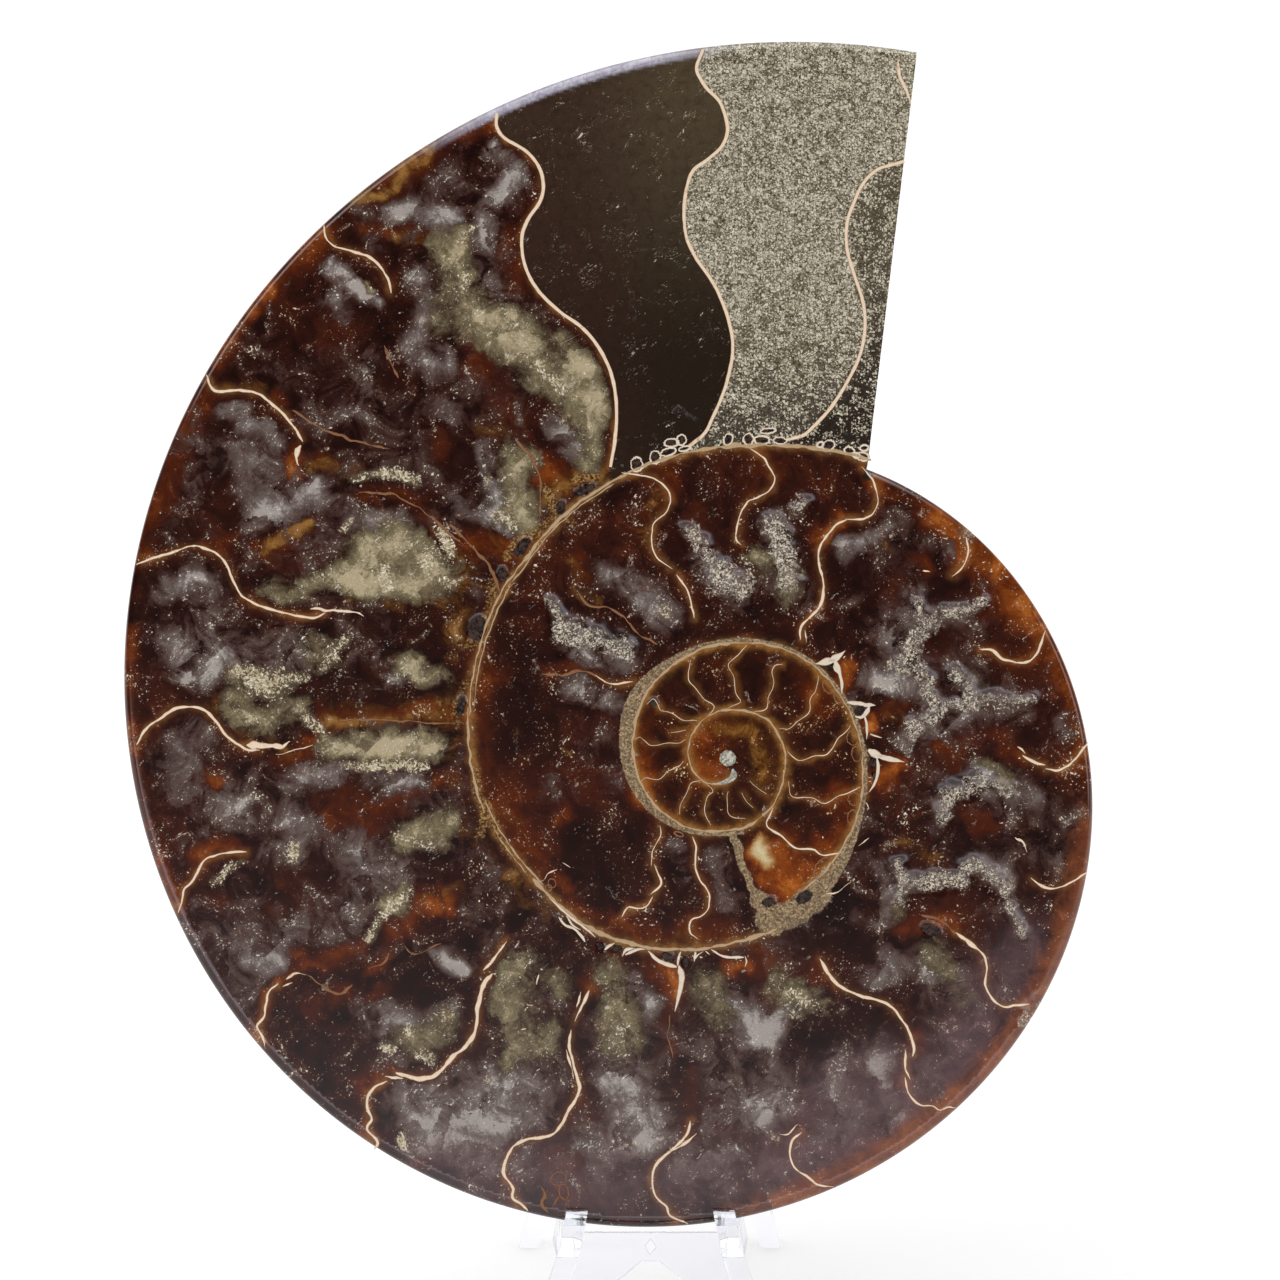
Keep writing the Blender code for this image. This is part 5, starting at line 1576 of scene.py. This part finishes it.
def natural_shell(look):
    """Brown and nacreous shell of the back, with frilled chamber seams and worn ribs."""
    shader = Finish("natural_shell", IOR=1.5)
    place = shader.millimetres()
    growth, across = shader.stored("growth"), shader.stored("across")
    coarse = shader.noise(place, 0.09, 5.0, 0.6)
    medium = shader.noise(place, 0.45, 6.0, 0.65, 0.3)
    grain = shader.group("stone_grain", place=place, scale=3.0)
    tone = shader.mix(coarse.rise(0.38, 0.66), look.shell_brown, look.shell_cream)
    tone = shader.mix(medium.rise(0.46, 0.66) * 0.75, tone, (88, 46, 28))
    rusty = shader.noise(place, 0.14, 6.0, 0.7, 0.6)
    tone = shader.mix(rusty.rise(0.52, 0.66) * 0.7, tone, (134, 68, 34))
    nacre = shader.noise(place, 0.2, 4.0, 0.6, 1.0).rise(0.52, 0.68)
    shades = shader.mix(medium.rise(0.35, 0.65), (150, 128, 92), (168, 150, 132))
    tone = shader.mix(nacre * 0.7, tone, shades)

    frill = (across * 23.0).math("SINE") * 0.22
    small = (across * 88.0 + 0.9).math("SINE") * 0.09
    tiny = (shader.noise(place, 0.8, 3.0, 0.7) - 0.5) * 0.55
    phase = growth * (SEAMS / math.tau) + frill + small + tiny
    away = abs(phase.math("FRACT") - 0.5)
    chambered = growth.rise(*LAST_SEAM) * across.rise(0.21, 0.26)
    seam = away.rise(0.07, 0.03) * chambered
    tone = shader.mix(seam * 0.75, tone, (52, 30, 20))
    flecks = shader.group("pale_flecks", place=place, scale=0.9, amount=0.9)
    tone = shader.mix(flecks * 0.5, tone, (214, 200, 172))
    tone = shader.mix(grain * 0.25, tone, (60, 40, 28))
    tone = shader.mix(across.rise(0.21, 0.14) * 0.6, tone, (120, 104, 78))
    return shader.done(Base_Color=tone, Roughness=shader.blend(nacre, 0.42, 0.26),
                       Normal=shader.bump(grain * 0.35 - seam * 0.5, 0.6, 0.0004))


def mouth_stone():
    """Sandy filling where the saw cut across the mouth."""
    shader = Finish("mouth_stone", IOR=1.5)
    place = shader.millimetres()
    grain = shader.group("stone_grain", place=place, scale=2.2)
    medium = shader.noise(place, 0.5, 5.0, 0.65)
    flecks = shader.group("pale_flecks", place=place, scale=1.8, amount=1.0)
    tone = shader.mix(medium.rise(0.35, 0.65), (60, 48, 34), (112, 98, 72))
    tone = shader.mix(grain * 0.5, tone, (142, 128, 100))
    tone = shader.mix(flecks * 0.8, tone, (200, 192, 168))
    return shader.done(Base_Color=tone, Roughness=shader.blend(grain, 0.45, 0.65),
                       Normal=shader.bump(grain, 0.5, 0.0004))


def clear_acrylic(look):
    """Moulded acrylic of the easel, faintly hazed by handling."""
    shader = Finish("clear_acrylic", Transmission_Weight=1.0, IOR=1.49, Base_Color=look.acrylic[:])
    place = shader.millimetres()
    smears = shader.noise(place, 0.12, 4.0, 0.6, 0.8)
    return shader.done(Roughness=shader.blend(smears.rise(0.45, 0.75), 0.01, 0.06),
                       Normal=shader.bump(shader.noise(place, 0.35, 2.0, 0.5), 0.05, 0.0002))


def white_floor(look):
    """Pale floor: shows as white to the eye and in gloss and glass, and keeps the shadow."""
    shader = Finish("white_floor", Roughness=0.9, Specular_IOR_Level=0.0, Base_Color=look.floor[:],
                    Emission_Color=(1.0, 1.0, 1.0, 1.0))
    path = shader.add("LightPath")
    seen = path["Is Camera Ray"].most(path["Is Glossy Ray"], path["Is Transmission Ray"])
    return shader.done(Emission_Strength=seen * look.floor_glow)


# ---- sizes and colours that a user would change ----

def tint(label, description, *parts):
    """Colour property with a default in the everyday 0 to 255 values."""
    return bpy.props.FloatVectorProperty(name=label, description=description, size=4, min=0.0, max=1.0,
                                         default=colour(*parts), subtype="COLOR")


class FossilLook(bpy.types.PropertyGroup):
    stone_dark: tint("Dark stone", "Darkest filling of the chambers", 24, 10, 8)
    stone_amber: tint("Amber", "Stain beside the chamber walls", 132, 66, 20)
    stone_orange: tint("Orange", "Brightest stain", 176, 102, 38)
    wall_cream: tint("Chamber wall", "Shell of the walls between chambers", 234, 213, 187)
    shell_brown: tint("Natural shell", "Main colour of the natural side", 122, 84, 56)
    shell_cream: tint("Pale shell", "Worn, pale parts of the natural side", 186, 160, 122)
    polish: bpy.props.FloatProperty(
        name="Polish", description="Roughness of the polished face", default=0.13, min=0.02, max=0.6)


class EaselLook(bpy.types.PropertyGroup):
    acrylic: tint("Acrylic", "Tint of the clear easel", 250, 251, 255)


class StageLook(bpy.types.PropertyGroup):
    floor: tint("Floor", "Colour of the floor", 228, 228, 229)
    sheen: tint("Sheen", "Colour of the pale surface mirrored in the face", 248, 238, 250)
    floor_glow: bpy.props.FloatProperty(
        name="Floor white", description="White added where the floor is seen", default=0.36, min=0.0,
        max=1.0)
    world_light: bpy.props.FloatProperty(
        name="Room light", description="Even light from all sides", default=0.86, min=0.0, max=3.0)
    camera_distance: bpy.props.FloatProperty(
        name="Camera distance", description="From the polished face", default=0.88, min=0.3, unit="LENGTH")
    framed: bpy.props.FloatProperty(
        name="Framed width", description="Width seen at the polished face", default=0.1946, min=0.05,
        unit="LENGTH")


# ---- operators ----

def settle(piece, material, *others):
    """Give a piece its materials, and let it stand for the fossil's CAD node."""
    for finish in (material,) + others:
        piece.data.materials.append(finish)
    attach(piece, "root")
    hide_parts("ammonite_half")
    return piece


class Step:
    """What every operator here shares."""

    bl_options = {"REGISTER"}

    def execute(self, context):
        self.build(context.scene)
        return {"FINISHED"}


class AMMONITE_OT_surfaces(Step, bpy.types.Operator):
    """Make the node groups that several finishes use"""
    bl_idname = "ammonite.surfaces"
    bl_label = "Shared surface effects"

    def build(self, scene):
        for flat in (True, False):
            pale_flecks_group(flat)
            stone_grain_group(flat)


class AMMONITE_OT_sawn_face(Step, bpy.types.Operator):
    """Build the slab with the polished face"""
    bl_idname = "ammonite.sawn_face"
    bl_label = "Polished face"

    def build(self, scene):
        settle(sawn_face(), polished_stone(scene.fossil_look))


class AMMONITE_OT_shell_walls(Step, bpy.types.Operator):
    """Inlay the walls of shell, their flakes and the wall between the whorls"""
    bl_idname = "ammonite.shell_walls"
    bl_label = "Walls of shell"

    def build(self, scene):
        cream = scene.fossil_look.wall_cream[:]
        settle(chamber_walls(), shell_strip("wall_shell", cream, (160, 114, 74), 0.18, 0.7))
        settle(crushed_shell(), shell_strip("tan_shell", (134, 88, 46), (74, 38, 19), 0.3, 0.9))
        settle(whorl_wall(), shell_strip("whorl_shell", (184, 155, 116), (94, 60, 32), 0.25, 0.9))


class AMMONITE_OT_linings(Step, bpy.types.Operator):
    """Inlay the rings, the spurs, the painted shade in the openings and the first chamber"""
    bl_idname = "ammonite.linings"
    bl_label = "Rings, spurs and first chamber"

    def build(self, scene):
        lining = shell_strip("lining_shell", (226, 212, 192), (150, 118, 86), 0.2, 0.6)
        settle(siphuncle_rings(), lining)
        # discs of painted shade in the openings
        settle(opening_shade_discs(), grainy("opening_shade", 2.5, (16, 9, 7), (62, 38, 22), 0.2, 0.45, 1.45))
        settle(first_chamber(), grainy("first_crystal", 2.8, (120, 116, 106), (206, 202, 186), 0.2, 0.5))


class AMMONITE_OT_natural_side(Step, bpy.types.Operator):
    """Build the shell's natural side and the sawn mouth"""
    bl_idname = "ammonite.natural_side"
    bl_label = "Natural side"

    def build(self, scene):
        settle(natural_side(), natural_shell(scene.fossil_look), mouth_stone())


class AMMONITE_OT_easel(Step, bpy.types.Operator):
    """Give the easel its clear acrylic"""
    bl_idname = "ammonite.easel"
    bl_label = "Easel"

    def build(self, scene):
        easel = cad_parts["easel"]
        easel.data.materials.clear()
        easel.data.materials.append(clear_acrylic(scene.easel_look))


class AMMONITE_OT_stage(Step, bpy.types.Operator):
    """Lay the floor and set the light and the camera"""
    bl_idname = "ammonite.stage"
    bl_label = "Stage"

    def build(self, scene):
        look = scene.stage_look
        bm = bmesh.new()
        bmesh.ops.create_grid(bm, x_segments=1, y_segments=1, size=FLOOR_REACH)
        floor = new_object("floor", bm)
        floor.data.materials.append(white_floor(look))
        studio_world(scene, look)
        key_lights()
        face_camera(scene, look)


def studio_world(scene, look):
    """Even white light; in gloss a dark room with a pale surface low down, a ceiling and a backdrop."""
    world = bpy.data.worlds.new("studio")
    world.use_nodes = True
    shader = Shader(world.node_tree)
    path = shader.add("LightPath")
    direction = shader.add("TexCoord")["Generated"]
    low = SHEEN_SIDE[0] * FACE.right + SHEEN_SIDE[1] * FACE.up
    towards, sheen, above = [shader.vector("DOT_PRODUCT", direction, tuple(way))
                             for way in (FACE.out, low, (0.0, 0.0, 1.0))]
    sheen = sheen.rise(*SHEEN_RISE) * towards.rise(*SHEEN_LIMIT[::-1])
    ceiling = above.rise(*CEILING_RISE)
    behind = towards.rise(*BACKDROP_RISE)
    in_gloss = ceiling * CEILING_LIGHT + behind * BACKDROP_LIGHT + sheen * SHEEN_LIGHT
    level = shader.blend(path["Is Glossy Ray"], look.world_light, in_gloss)
    level = shader.blend(path["Is Camera Ray"], level, 1.0)
    level = shader.blend(path["Is Transmission Ray"], level, 1.0)
    tone = shader.mix(sheen * path["Is Glossy Ray"], (255, 255, 255), look.sheen)
    background = shader.add("Background", {"Color": tone, "Strength": level})
    shader.add("OutputWorld", {"Surface": background[0]})
    scene.world = world


def key_lights():
    """Two soft boxes, above to the left and low to the right, clear of the face's reflection."""
    for name, power, size, place in KEY_LIGHTS:
        lamp = bpy.data.lights.new(name, "AREA")
        lamp.energy = power
        lamp.size = size
        box = bpy.data.objects.new(name, lamp)
        box.location = place
        aim = Vector(FACE.pole) - Vector(place)
        box.rotation_euler = aim.to_track_quat("-Z", "Y").to_euler()
        bpy.context.scene.collection.objects.link(box)


def face_camera(scene, look):
    """Camera square to the polished face."""
    lens = bpy.data.cameras.new("camera")
    lens.lens = lens.sensor_width * look.camera_distance / look.framed
    camera = bpy.data.objects.new("camera", lens)
    away = look.camera_distance / MM
    camera.location = FACE.place(np.array(VIEW_CENTRE), -away)
    turn = Matrix((FACE.right, FACE.up, FACE.out)).transposed()
    camera.rotation_euler = turn.to_euler()
    scene.collection.objects.link(camera)
    scene.camera = camera


# ---- panel, registration and run ----

STEPS = (AMMONITE_OT_surfaces, AMMONITE_OT_sawn_face, AMMONITE_OT_shell_walls, AMMONITE_OT_linings,
         AMMONITE_OT_natural_side, AMMONITE_OT_easel, AMMONITE_OT_stage)
LOOKS = {"fossil_look": FossilLook, "easel_look": EaselLook, "stage_look": StageLook}


class AMMONITE_PT_panel(bpy.types.Panel):
    """Lists the steps that build the ammonite, in order"""
    bl_label = "Ammonite on easel"
    bl_idname = "AMMONITE_PT_panel"
    bl_space_type = "VIEW_3D"
    bl_region_type = "UI"
    bl_category = "Ammonite"

    def draw(self, context):
        for name, look in LOOKS.items():
            for label in look.__annotations__:
                self.layout.prop(getattr(context.scene, name), label)
        for step in STEPS:
            self.layout.operator(step.bl_idname)


def register():
    for entry in list(LOOKS.values()) + list(STEPS) + [AMMONITE_PT_panel]:
        bpy.utils.register_class(entry)
    for name, look in LOOKS.items():
        setattr(bpy.types.Scene, name, bpy.props.PointerProperty(type=look))


def unregister():
    for name in LOOKS:
        delattr(bpy.types.Scene, name)
    for entry in [AMMONITE_PT_panel] + list(STEPS)[::-1] + list(LOOKS.values()):
        bpy.utils.unregister_class(entry)


def main():
    register()
    for step in STEPS:
        group, name = step.bl_idname.split(".")
        getattr(getattr(bpy.ops, group), name)()
    bpy.context.scene.view_settings.view_transform = "Standard"


if __name__ == "__main__":
    main()
